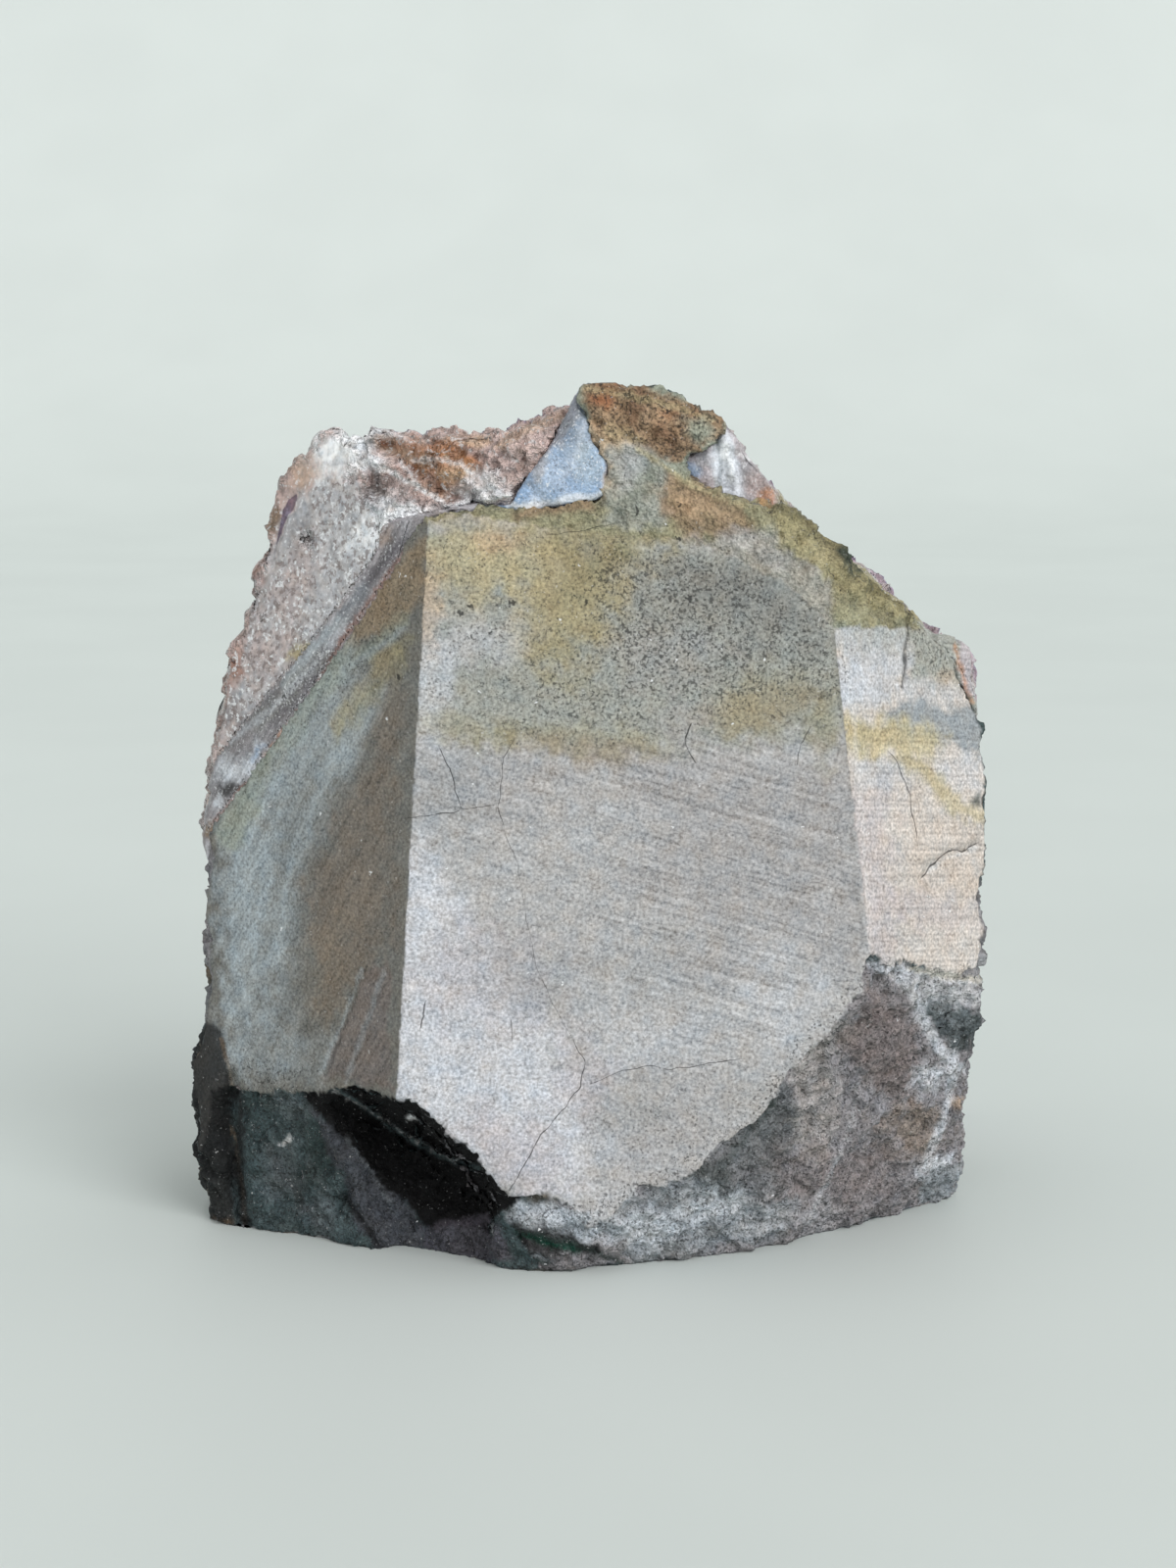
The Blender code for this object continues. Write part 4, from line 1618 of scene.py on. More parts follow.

# Painted shade: the left face turns away from the light and is painted in darker, shaded tones.
LEFT_STROKES: Strokes = (
    (Tone.SHADED_GREY, 1.0, EVERYWHERE),
    (Tone.SHADED_BLUE, 0.30, area(
        26, (380, 690), (300, 740), (225, 850), (220, 1090), (300, 1080), (320, 880), (372, 780))),
    (Tone.SHADED_BLUE, 0.65, Oval(256, 910, 24, 130, 3, 0.95)),
    (Tone.SHADED_BLUE, 0.40, line(9, (392, 700), (350, 770), (312, 830), (292, 890), (280, 980))),
    (Tone.SHADED_BLUE, 0.35, line(4, (352, 690), (300, 762), (262, 830), (246, 900))),
    (Tone.SHADED_BLUE, 0.30, line(3, (330, 740), (290, 810), (268, 880), (258, 1000))),
    (Tone.SHADED_GREY, 0.35, line(5, (320, 800), (290, 870), (274, 960))),
    (Tone.SHADED_BROWN, 0.85, area(
        20, (402, 740), (396, 960), (366, 1000), (330, 1030), (312, 900), (350, 820))),
    (Tone.SEPIA, 0.20, Oval(330, 990, 26, 50, 12, 0.95)),
    (Tone.GREEN_GREY, 0.7, line(13, (350, 660), (305, 728), (262, 790), (236, 850))),
    (Tone.SEPIA, 0.75, area(
        9, (444, 524), (434, 600), (410, 640), (372, 656), (346, 668), (372, 615), (405, 572))),
    (Tone.GREEN_GREY, 0.5, line(8, (412, 634), (372, 664), (330, 700))),
    (Tone.SHADED_BLUE, 0.3, line(4, (412, 642), (384, 662), (350, 684))),
    (Tone.SHADED_BLUE, 0.3, area(
        14, (350, 650), (300, 720), (256, 800), (290, 830), (350, 760), (390, 690))),
    (Tone.OLIVE, 0.55, area(14, (416, 650), (412, 690), (380, 720), (344, 752), (350, 722), (385, 672))),
    (Tone.OCHRE, 0.3, line(7, (400, 664), (366, 706), (346, 738))),
    (Tone.SHADED_BROWN, 0.6, Oval(398, 730, 14, 50)),
    (Tone.SHADED_BLUE, 0.2, area(16, (240, 1046), (345, 1060), (334, 1104), (244, 1100))),
    (Tone.PURPLE_BROWN, 0.5, area(4, (372, 990), (394, 976), (399, 1113), (331, 1106))),
    # Painted shadow: a thin dark line below the ledge.
    (Tone.SOOT, 0.5, line(1.0, (374, 984), (356, 1040), (331, 1100))),
    (Tone.SHADED_BLUE, 0.35, line(1.6, (368, 990), (350, 1042), (326, 1098))),
    (Tone.SHADED_BLUE, 0.25, line(2.5, (392, 990), (372, 1050), (352, 1104))),
    (Tone.SOOT, 0.9, area(4, (170, 1030), (224, 1052), (238, 1096), (238, 1300), (170, 1300))),
    (Tone.BROWN, 0.35, line(1.6, (226, 1060), (234, 1090), (240, 1130))),
)

CREST_STROKES: Strokes = (
    (Tone.GREEN_GREY, 0.95, area(
        12, (380, 360), (1100, 360), (1100, 720), (850, 690), (700, 610), (380, 560))),
    (Tone.OLIVE, 0.7, area(
        10, (430, 515), (600, 500), (700, 480), (800, 500), (935, 610), (935, 650), (850, 640), (700, 560),
        (430, 560))),
    (Tone.PALE_OCHRE, 0.4, Oval(470, 532, 40, 8)),
    (Tone.BROWN, 0.95, area(4, (592, 380), (740, 416), (742, 446), (692, 476), (640, 456), (602, 432))),
    (Tone.PEACH, 0.5, Oval(670, 432, 44, 16, 14)),
    (Tone.RUST, 0.7, Oval(616, 402, 12, 9)),
    (Tone.DEEP_RUST, 0.45, Oval(648, 418, 7, 18, 10)),
    (Tone.DEEP_RUST, 0.45, Oval(676, 442, 18, 7, 40)),
    (Tone.RUST, 0.4, Oval(694, 422, 22, 8, 14)),
    (Tone.PALE_OCHRE, 0.5, line(3, (600, 396), (640, 404), (690, 416), (730, 430))),
    (Tone.PALE_OCHRE, 0.4, Oval(634, 446, 16, 12, 40)),
    (Tone.GREEN_GREY, 0.85, Oval(716, 438, 18, 12, 14)),
    (Tone.PEACH, 0.7, area(6, (602, 424), (640, 456), (636, 500), (616, 508), (606, 470))),
    (Tone.SALT_GREY, 0.9, area(
        8, (628, 458), (680, 472), (692, 502), (680, 536), (616, 536), (620, 480))),
    (Tone.MOSS, 0.35, Oval(658, 486, 18, 13)),
    (Tone.MOSS, 0.2, Oval(640, 512, 20, 12)),
    (Tone.SILVER, 0.5, Oval(642, 476, 14, 16)),
    (Tone.SILVER, 0.4, Oval(760, 556, 40, 12, 30)),
    (Tone.BROWN, 0.75, area(8, (676, 478), (760, 512), (770, 546), (705, 548), (676, 520))),
    (Tone.PEACH, 0.4, Oval(706, 512, 36, 12, 24)),
    (Tone.PALE_OCHRE, 0.6, line(2.4, (650, 458), (690, 484), (730, 508), (762, 518))),
    (Tone.BROWN, 0.8, line(6, (528, 526), (548, 520), (575, 518), (600, 516))),
    (Tone.STONE_GREY, 0.6, area(8, (700, 545), (790, 540), (850, 600), (850, 640), (760, 590))),
    (Tone.OLIVE, 0.8, area(6, (778, 500), (806, 506), (932, 606), (936, 642), (880, 620), (800, 560))),
    (Tone.PALE_OCHRE, 0.4, Oval(836, 566, 26, 10, 38)),
    (Tone.DARK_OLIVE, 0.5, line(7, (800, 512), (840, 545), (880, 575), (925, 612))),
    (Tone.DARK_GREEN, 0.85, Oval(872, 572, 13, 11, 35)),
    (Tone.DARK_OLIVE, 0.7, Oval(905, 606, 22, 9, 35)),
    (Tone.GREEN_GREY, 0.6, Oval(796, 508, 8, 7)),
    (Tone.ORANGE, 0.5, Oval(784, 506, 6, 8)),
    (Tone.SOOT, 0.7, line(1.5, *CHIPPED_EDGE)),
)

FOOT_STROKES: Strokes = (
    # The right-hand foot.
    (Tone.PURPLE_GREY, 0.97, area(
        4, (500, 1240), (560, 1226), (620, 1220), (660, 1200), (732, 1170), (762, 1120), (830, 1040),
        (880, 980), (940, 990), (1010, 990), (1010, 1320), (500, 1320))),
    (Tone.SLATE, 0.4, area(
        4, (748, 1150), (800, 1095), (818, 1150), (800, 1215), (740, 1230), (700, 1200))),
    (Tone.SLATE, 0.2, Oval(785, 1150, 26, 40, 10)),
    (Tone.DARK_GREEN, 0.4, line(5, (690, 1196), (735, 1190), (770, 1150), (790, 1118))),
    (Tone.SHELL, 0.35, area(8, (806, 1080), (846, 1060), (862, 1130), (840, 1190), (812, 1180))),
    (Tone.DARK_GREEN, 0.6, Oval(786, 1126, 9, 5)),
    (Tone.DARK_GREEN, 0.5, Oval(730, 1204, 16, 12, -20)),
    (Tone.MID_GREY, 0.5, Oval(850, 1060, 30, 16, -30)),
    (Tone.PURPLE_BROWN, 0.6, area(10, (890, 1010), (935, 1040), (945, 1120), (890, 1110), (860, 1060))),
    (Tone.PURPLE_BROWN, 0.4, Oval(850, 1200, 60, 30)),
    (Tone.PURPLE_GREY, 0.5, Oval(870, 1130, 30, 30)),
    (Tone.BLUE_GREY, 0.7, area(10, (630, 1225), (700, 1205), (810, 1225), (800, 1262), (640, 1296))),
    (Tone.ICE, 0.7, Oval(665, 1250, 48, 16, -6)),
    (Tone.ICE, 0.6, Oval(720, 1234, 34, 14, -10)),
    (Tone.SILVER, 0.5, Oval(780, 1246, 30, 14, -10)),
    (Tone.BLUE_GREY, 0.8, area(6, (508, 1226), (620, 1232), (640, 1262), (560, 1268), (500, 1246))),
    (Tone.SLATE, 0.4, Oval(600, 1250, 30, 8, 14)),
    (Tone.ICE, 0.7, Oval(570, 1240, 44, 9, 4)),
    (Tone.ICE, 0.5, Oval(610, 1262, 20, 10, 10)),
    (Tone.SOOT, 0.9, area(3, (474, 1240), (560, 1252), (612, 1276), (590, 1298), (488, 1290))),
    (Tone.DARK_GREEN, 0.8, line(3, (540, 1258), (590, 1272), (636, 1288))),
    (Tone.EMERALD, 1.0, line(3, (500, 1252), (540, 1262), (590, 1278))),
    (Tone.EMERALD, 0.8, line(1.8, (498, 1272), (530, 1280), (560, 1288))),
    (Tone.ICE, 0.5, Oval(548, 1284, 7, 3, 10)),
    (Tone.PURPLE_GREY, 0.9, Oval(582, 1290, 22, 8, 6)),
    (Tone.PLUM, 0.8, Oval(498, 1276, 24, 8, -8)),
    (Tone.SILVER, 0.5, line(
        2.2, (874, 1108), (868, 1146), (858, 1176), (845, 1202), (832, 1230), (826, 1253))),
    (Tone.SILVER, 0.3, Oval(832, 1240, 14, 22, 10)),
    (Tone.BROWN, 0.35, Oval(930, 1150, 30, 26)),
    (Tone.SEPIA, 0.2, Oval(936, 1148, 20, 20, -20)),
    (Tone.PEACH, 0.5, Oval(975, 1128, 6, 8)),
    (Tone.PALE_GREY, 0.85, Oval(948, 1098, 16, 16)),
    (Tone.ICE, 0.6, line(4, (975, 1060), (972, 1110), (960, 1150), (944, 1188))),
    (Tone.ICE, 0.7, Oval(958, 1188, 22, 8, -8)),
    (Tone.BLUE_GREY, 0.8, area(5, (940, 1196), (985, 1186), (982, 1225), (938, 1234))),
    (Tone.ICE, 0.6, line(5, (936, 1012), (940, 1040), (960, 1072), (980, 1090))),
    (Tone.SLATE, 0.75, area(
        3, (944, 1016), (972, 1016), (1002, 1036), (1004, 1058), (984, 1076), (958, 1052))),
    (Tone.BLUE_GREY, 0.4, Oval(974, 1034, 14, 8, 28)),
    (Tone.SOOT, 0.4, Oval(986, 1060, 12, 10, 28)),
    (Tone.SILVER, 0.85, area(3, (890, 984), (1006, 1002), (1006, 1026), (942, 1020), (898, 998))),
    (Tone.PALE_GREY, 0.8, line(5, (888, 984), (940, 994), (1000, 1002))),
    (Tone.DARK_GREY, 0.6, line(1.2, (892, 986), (930, 996), (962, 1003), (1002, 1008))),
    (Tone.PALE_OCHRE, 0.4, line(3, (930, 990), (1000, 1000))),
    # The left-hand foot.
    (Tone.SLATE, 0.97, area(
        4, (190, 1030), (236, 1075), (300, 1085), (400, 1100), (460, 1135), (528, 1222), (512, 1240),
        (560, 1310), (190, 1310))),
    (Tone.SOOT, 0.9, area(
        5, (190, 1040), (232, 1060), (240, 1110), (236, 1180), (250, 1270), (190, 1270))),
    (Tone.BLACK, 0.5, area(5, (190, 1100), (236, 1100), (236, 1200), (190, 1200))),
    (Tone.DARK_OLIVE, 0.4, Oval(210, 1084, 8, 20)),
    (Tone.BROWN, 0.4, line(1.6, (238, 1150), (246, 1200), (250, 1250))),
    (Tone.BROWN, 0.5, Oval(232, 1250, 14, 8)),
    (Tone.DARK_GREEN, 0.5, Oval(320, 1170, 34, 44)),
    (Tone.DARK_GREEN, 0.5, Oval(276, 1120, 26, 14, 10)),
    (Tone.SOOT, 0.45, Oval(300, 1206, 16, 30, -30)),
    (Tone.SOOT, 0.5, line(2.4, (262, 1150), (290, 1200), (330, 1256))),
    (Tone.BLUE_GREY, 0.2, Oval(286, 1196, 22, 40, 8)),
    (Tone.BLUE_GREY, 0.2, Oval(300, 1130, 24, 16, 10)),
    (Tone.BLUE_GREY, 0.25, Oval(330, 1240, 16, 24, -20)),
    # Painted shadow: dark lines in the groove at the far left and under the overhanging lower edge of the
    # left face.
    (Tone.SOOT, 0.8, line(4, (240, 1086), (246, 1140), (244, 1200), (252, 1262))),
    (Tone.SOOT, 0.7, line(4, (232, 1084), (300, 1096), (400, 1106))),
    (Tone.PLUM, 0.6, area(
        3, (322, 1130), (392, 1204), (430, 1250), (425, 1285), (388, 1278), (350, 1220))),
    # Painted shade: the undercut hollow painted near black.
    (Tone.BLACK, 0.99, HOLLOW),
    (Tone.BLUE_GREY, 0.3, line(1.2, (352, 1160), (384, 1204), (404, 1240))),
    (Tone.BLACK, 0.8, line(3, *CLEFT)),
    (Tone.SLATE, 0.7, line(
        2.4, (318, 1104), (348, 1114), (395, 1146), (430, 1170), (465, 1186), (488, 1192))),
    (Tone.STONE_GREY, 0.5, line(0.8, (330, 1106), (395, 1145), (430, 1169), (465, 1185))),
    (Tone.PLUM, 0.8, area(6, (424, 1250), (500, 1240), (520, 1290), (430, 1290))),
    (Tone.WHITE, 0.95, Oval(288, 1162, 3.6, 2.8)),
    (Tone.WHITE, 0.8, Oval(418, 1142, 2.8, 2.8)),
)


@dataclass
class BasaltBlock(StonePiece):
    """The host rock: sawn on three faces, broken above, below and at its sides."""

    node: str = "basalt_matrix"
    name: str = "basalt_block"
    slot: str = "basalt"
    voxel: float = 0.45
    finish: StoneFinish = StoneFinish("sawn_basalt")
    strokes: tuple[tuple[Face | None, Strokes], ...] = (
        (Face.BACK, BACK_STROKES),
        (Face.RIGHT, RIGHT_STROKES),
        (Face.LEFT, LEFT_STROKES),
        (Face.BROKEN, CREST_STROKES + FOOT_STROKES),
    )
    dents: Amounts = (
        (0.8, Oval(655, 455, 50, 24, 20)),
        (-0.6, Oval(700, 520, 60, 14, 24)),
        (-0.5, line(4, (650, 456), (690, 482), (730, 506), (762, 516))),
        (1.8, line(7, (238, 1102), (234, 1150), (240, 1200), (250, 1252))),
        (0.35, line(4, (360, 1010), (346, 1060), (331, 1106))),
        (0.5, line(3, *CHIPPED_EDGE)),
        (0.4, line(2.6, *FISSURE)),
        (0.4, line(2.6, (902, 990), (950, 997), (1002, 1005))),
        (0.8, Oval(968, 1040, 26, 20, 25)),
        (3.0, Oval(430, 1180, 80, 24, 36)),
        (-1.0, line(4, (312, 1102), (345, 1112), (395, 1145), (430, 1170), (465, 1187))),
        (0.9, line(5, *CLEFT)),
        (0.7, Oval(765, 1165, 36, 40, -30)),
        (-0.5, Oval(580, 1286, 18, 12)),
        (0.8, line(7, (486, 1250), (530, 1262), (600, 1282))),
    )
    peppers: Amounts = (
        (0.6, area(20, (405, 530), (860, 560), (872, 745), (600, 770), (405, 735))),
        (0.9, area(20, (600, 560), (850, 570), (862, 700), (720, 720), (600, 690))),
        (0.8, Oval(600, 710, 70, 30)),
        (0.45, Oval(640, 1150, 130, 60)),
        (0.56, Oval(684, 1150, 70, 44, -14)),
        (0.4, area(9, (440, 530), (398, 1110), (214, 1110), (214, 840), (312, 716))),
        (0.65, area(9, (440, 530), (410, 660), (330, 720), (220, 850), (214, 840), (312, 716))),
        (0.5, area(9, (845, 590), (925, 600), (925, 680), (850, 672))),
        (0.12, area(9, (865, 780), (1004, 830), (1004, 1000), (885, 985))),
        (0.5, area(8, (594, 380), (860, 490), (940, 620), (850, 640), (700, 548), (600, 541))),
        (0.85, area(6, (594, 380), (740, 416), (742, 446), (692, 476), (602, 432))),
        (0.8, area(9, (925, 600), (1000, 620), (1000, 702), (925, 694))),
        (0.75, area(6, (190, 1060), (400, 1108), (528, 1222), (512, 1310), (190, 1310))),
        (0.0, HOLLOW),
        (0.75, area(
            3, (520, 1236), (660, 1205), (762, 1125), (888, 980), (1010, 990), (1010, 1310),
            (520, 1310))),
    )
    blots: Amounts = (
        (0.10, area(16, (430, 540), (700, 560), (850, 600), (860, 700), (620, 680), (440, 670))),
        (0.22, Oval(490, 590, 44, 36)),
        (0.10, area(12, (440, 540), (410, 700), (320, 800), (300, 760), (380, 620))),
        (0.05, area(12, (595, 390), (740, 430), (940, 620), (850, 630), (600, 530))),
    )
    line_strength: float = 0.55
    lines: Amounts = (
        (0.3, area(40, (395, 900), (560, 900), (640, 1060), (760, 1100), (700, 1260), (395, 1260))),
        (0.9, area(40, (640, 740), (880, 760), (890, 990), (740, 1040), (640, 960))),
        (0.25, area(20, (405, 520), (860, 560), (860, 700), (405, 740))),
        (0.55, area(3, (838, 590), (1010, 620), (1010, 1020), (885, 1000), (858, 800))),
        (0.2, area(12, (838, 580), (1000, 600), (1000, 715), (856, 715))),
        (0.75, area(3, (440, 530), (412, 660), (398, 1116), (235, 1100), (214, 840))),
        (1.0, area(4, (366, 1010), (394, 980), (398, 1112), (334, 1104))),
    )
    cracks: tuple[Line, ...] = (
        line(0.5, (525, 754), (513, 774), (512, 793), (509, 825), (514, 846)),
        line(0.3, (514, 846), (528, 882), (537, 937), (548, 988), (564, 1025), (585, 1061)),
        line(
            0.7, (585, 1061), (597, 1082), (592, 1109), (571, 1137), (552, 1158), (540, 1179), (525, 1206),
            (516, 1223)),
        line(0.6, (447, 761), (459, 786), (464, 806), (470, 825)),
        line(0.6, (411, 835), (447, 831), (470, 827), (505, 821)),
        line(0.5, (602, 1107), (632, 1093), (664, 1088), (685, 1091), (720, 1086), (760, 1080)),
        line(0.9, (706, 738), (698, 756), (704, 770), (712, 780)),
        line(0.8, (434, 1022), (429, 1050)),
        line(0.5, (521, 1040), (524, 1063)),
        line(0.7, (826, 742), (816, 762), (813, 782)),
        line(0.5, (558, 546), (600, 540), (640, 532)),
        line(0.7, (906, 765), (913, 774), (922, 795), (929, 811), (931, 832), (937, 859)),
        line(1.1, *FISSURE),
        line(1.3, (649, 515), (651, 521), (649, 527)),
    )

    # Weathered grey, green and brown rind on the sides that the sheet doesn't reach.
    ground: Tone = Tone.SLATE
    stains: tuple[Stain, ...] = (
        Stain(Tone.PURPLE_GREY, 1.0, (-0.5, 0.6), seed=301, size=16.0),
        Stain(Tone.BROWN, 0.6, (0.25, 0.9), seed=302, size=9.0),
        Stain(Tone.DARK_GREEN, 0.5, (0.1, 0.8), seed=303, size=6.0),
        Stain(Tone.SILVER, 0.4, (0.35, 0.8), seed=304, size=5.0, octaves=4),
    )
    relief: tuple[Lumps, ...] = (
        Lumps(0.55, seed=101, size=5.5, octaves=3),
        Lumps(0.28, seed=102, size=1.9, octaves=3, ridged=True),
        Lumps(0.55, seed=103, size=3.2),
        Lumps(0.22, seed=104, size=1.5),
    )
    contact: float = 0.5

    LEAST_FACING = 0.1
    SHORE = 0.25  # how raggedly the sawn back ends at the crest
    CREST_HEIGHT = (84.0, 92.0)
    CREST_LIFT = 0.15
    CREST_BREAK = area(
        5, (424, 528), (470, 522), (530, 534), (600, 541), (650, 548), (700, 548), (745, 566), (800, 592),
        (850, 640), (905, 640), (1010, 640), (1010, 380), (424, 380),
    )

    def hidden(self, points: Points) -> np.ndarray:
        """Say which points lie against the band, or underneath."""
        return (np.abs(LAYERS.behind_rock(points)) < self.contact) | (points[:, 2] < COVERED)

    def broken(self, skin: Skin) -> Values:
        """Say where the sawn back broke off, up to the peak."""
        shore = 0.5 + self.SHORE * skin.mottle
        return (self.CREST_BREAK.cover(skin.places) > shore) & (skin.facing > self.LEAST_FACING)

    def roughen(self, skin: Skin) -> None:
        """Break the edges, and give the broken faces lumps, ridges and small facets.

        Args:
            skin: the piece's points.
        """
        skin.fray(seed=61, rounds=4, depth=0.45)
        rough = self.rough(skin, self.hidden(skin.points))
        wholly = (rough > 0.6)[:, None]
        skin.points = np.where(wholly, skin.soften(skin.points, 2), skin.points)
        skin.refresh()
        crest = smooth_step(*self.CREST_HEIGHT, skin.points[:, 2]) * rough
        skin.push((self.lift(skin) + self.CREST_LIFT * crest) * rough)


BAND_STROKES: Strokes = (
    # Along the left sawn face, between rock and quartz.
    (Tone.PURPLE_GREY, 1.0, area(
        8, (441, 520), (400, 540), (340, 630), (276, 695), (225, 745), (200, 800), (206, 850), (256, 806),
        (356, 668), (430, 563))),
    (Tone.SHADED_BLUE, 0.6, line(6, (370, 600), (330, 650), (290, 700))),
    (Tone.PLUM, 0.6, line(5, (408, 556), (376, 592), (350, 625))),
    (Tone.LAVENDER, 0.45, line(4, (356, 604), (334, 634))),
    (Tone.PLUM, 0.4, line(7, (336, 668), (306, 706), (276, 735))),
    (Tone.MID_GREY, 0.6, line(8, (330, 668), (296, 704), (262, 740))),
    (Tone.DARK_GREY, 0.55, line(7, (285, 706), (250, 740), (228, 764))),
    (Tone.ICE, 0.4, line(3, (350, 640), (316, 684), (272, 728), (236, 756))),
    # Icy white crystals, partly a painted glint.
    (Tone.ICE, 0.85, Oval(246, 780, 24, 12, -32)),
    (Tone.SKY, 0.6, Oval(260, 770, 12, 4, -35)),
    (Tone.SOOT, 0.85, Oval(236, 806, 11, 7, -30)),
    (Tone.ICE, 0.8, Oval(221, 822, 5, 9, 20)),
    (Tone.BROWN, 0.8, Oval(212, 846, 6, 8)),
    (Tone.RUST, 0.5, line(2.4, (441, 529), (413, 563), (346, 658), (312, 723), (270, 780), (220, 838))),
    (Tone.ORANGE, 0.8, line(3.4, (308, 728), (290, 750), (272, 772))),
    (Tone.ORANGE, 0.6, line(3.4, (264, 791), (254, 806))),
    # The blue chip beside the peak.
    (Tone.SKY, 1.0, area(4, (590, 380), (640, 440), (630, 520), (560, 526), (505, 528), (550, 455))),
    (Tone.PURPLE_GREY, 0.8, area(4, (588, 388), (592, 420), (572, 456), (540, 490), (548, 460))),
    (Tone.ICE, 0.6, line(1.6, (590, 384), (598, 404), (604, 424))),
    (Tone.BLUE_GREY, 0.6, Oval(594, 425, 16, 34, 10)),
    (Tone.ICE, 0.7, Oval(601, 408, 6, 12, -10)),
    (Tone.ICE, 0.3, Oval(566, 484, 24, 24, 15)),
    (Tone.ICE, 0.25, line(3, (596, 430), (590, 460), (576, 490))),
    (Tone.SHADED_BLUE, 0.5, Oval(604, 480, 14, 26)),
    (Tone.ICE, 0.7, Oval(540, 514, 16, 6, -10)),
    (Tone.PLUM, 0.5, line(1.6, (588, 394), (574, 427), (556, 460), (537, 486), (520, 512))),
    (Tone.WHITE, 0.6, line(4, (522, 516), (545, 518), (575, 512), (612, 506))),
    (Tone.PEACH, 0.5, line(3, (612, 430), (624, 460), (618, 500))),
    # The lumps right of the peak.
    (Tone.LAVENDER, 0.95, area(
        5, (680, 470), (736, 420), (752, 440), (790, 490), (806, 512), (778, 522), (700, 508))),
    (Tone.SKY, 0.8, Oval(698, 484, 20, 9, -20)),
    (Tone.FROST, 0.8, line(1.6, (684, 476), (706, 462), (726, 440))),
    (Tone.BLUE_GREY, 0.4, Oval(716, 470, 16, 12)),
    (Tone.ICE, 0.9, area(4, (734, 428), (748, 446), (764, 486), (762, 512), (732, 508), (724, 476))),
    (Tone.FROST, 0.8, Oval(741, 462, 6, 24, -15)),
    (Tone.BLUE_GREY, 0.6, line(1.6, (730, 440), (736, 470), (734, 500))),
    (Tone.PURPLE_GREY, 0.85, area(4, (764, 466), (790, 490), (782, 520), (758, 514), (754, 492))),
    (Tone.ROSE, 0.5, Oval(772, 494, 10, 12, 30)),
    (Tone.FROST, 0.7, line(1.4, (752, 462), (772, 472), (792, 492))),
    (Tone.ORANGE, 0.7, Oval(785, 508, 7, 9)),
    (Tone.PEACH, 0.5, line(2.5, (700, 504), (730, 512), (762, 520))),
    (Tone.OLIVE, 0.95, area(5, (792, 480), (1000, 560), (950, 640), (900, 630), (796, 524))),
    # The corner at the right.
    (Tone.SALT_GREY, 0.95, area(4, (930, 630), (1010, 640), (1010, 730), (960, 730), (930, 660))),
    (Tone.LAVENDER, 0.9, area(3, (978, 640), (1010, 640), (1010, 714), (984, 708))),
    (Tone.ORANGE, 0.6, line(2.4, (974, 658), (980, 680), (986, 704), (992, 716))),
)


@dataclass
class AgateBand(StonePiece):
    """The thin layer of agate between rock and quartz, with a chip that stands beside the peak."""

    node: str = "chalcedony_band"
    name: str = "agate_band"
    slot: str = "chalcedony"
    voxel: float = 0.36
    inset: float = 0.03
    pepper: float = 0.15
    line_strength: float = 0.9
    finish: StoneFinish = StoneFinish(
        "grey_agate", dark=Tone.PLUM, pale=Tone.FROST, grain_size=0.36, grain_contrast=0.42,
        pale_amount=0.8, pale_strength=0.7, warmth=0.02, blade_contrast=0.36, relief_shading=0.18,
        relief=0.4, roughness=0.5, polish=0.12, specular=0.4, bump=0.5,
    )
    strokes: tuple[tuple[Face | None, Strokes], ...] = ((None, BAND_STROKES),)
    dents: Amounts = (
        (0.5, Oval(600, 408, 9, 14)),
        (-0.5, Oval(742, 470, 22, 34, -20)),
        (0.6, line(5, (722, 440), (735, 470), (742, 500))),
        (0.4, line(4, (752, 470), (760, 495))),
    )
    peppers: Amounts = (
        (0.8, line(12, (336, 668), (276, 735))),
        (0.4, line(9, (405, 556), (345, 625))),
        (0.55, area(4, (592, 388), (620, 455), (618, 508), (540, 520), (518, 518), (560, 450))),
        (0.7, area(5, (792, 480), (1000, 560), (950, 640), (796, 524))),
    )
    blots: Amounts = ((0.3, line(9, (336, 668), (276, 735))),)
    ground: Tone = Tone.PURPLE_GREY
    stains: tuple[Stain, ...] = (Stain(Tone.BROWN, 0.6, (0.2, 0.8), seed=312, size=8.0),)
    relief: tuple[Lumps, ...] = (
        Lumps(0.3, seed=201, size=3.5, octaves=3),
        Lumps(0.3, seed=202, size=2.4),
    )

    SWELL = 0.15  # how far the broken edges stand out
    CHIP_SMOOTHNESS = 0.7
    OVERLAP = 0.7
    CHIP = area(4, (592, 388), (620, 455), (618, 508), (584, 512), (540, 520), (518, 518), (560, 450))

    def hidden(self, points: Points) -> np.ndarray:
        """Say which points lie against the rock or the quartz."""
        front = np.abs(LAYERS.behind_rock(points) - LAYERS.gap) < COVERED
        return front | (np.abs(LAYERS.behind_band(points)) < COVERED) | (points[:, 2] < COVERED)

    def broken(self, skin: Skin) -> Values:
        """Say where the chip stands, which the saw never reached."""
        return self.CHIP.cover(skin.places) * (skin.facing > 0.05)

    def roughen(self, skin: Skin) -> None:
        """Give the broken edges a shallow relief, and close the gaps beside the rock.

        Args:
            skin: the piece's points.
        """
        chip = self.broken(skin)
        rough = self.rough(skin, self.hidden(skin.points) & (chip < 0.5))
        lift = self.SWELL + (1.0 - self.CHIP_SMOOTHNESS * chip) * self.lift(skin)
        skin.push(rough * lift)
        tuck_under(skin, LAYERS.behind_rock(skin.points), self.OVERLAP)

    def base(self, skin: Skin) -> np.ndarray:
        """Colour the sides: grey agate in thin layers, stained brown in places.

        Args:
            skin: the piece's points.

        Returns:
            Linear colours.
        """
        layer = LAYERS.behind_rock(skin.points) + 0.5 * Noise(311).at(skin.points, 8.0, 2)
        colour = np.tile(linear(self.ground.value), (len(skin.points), 1))
        colour = blend(colour, Tone.LAVENDER, 0.45 + 0.3 * np.sin(layer * 3.1))
        colour = blend(colour, Tone.ICE, 0.4 * smooth_step(0.3, 0.9, np.sin(layer * 1.7 + 1.0)))
        return self.stains[0].lay(colour, skin.points)


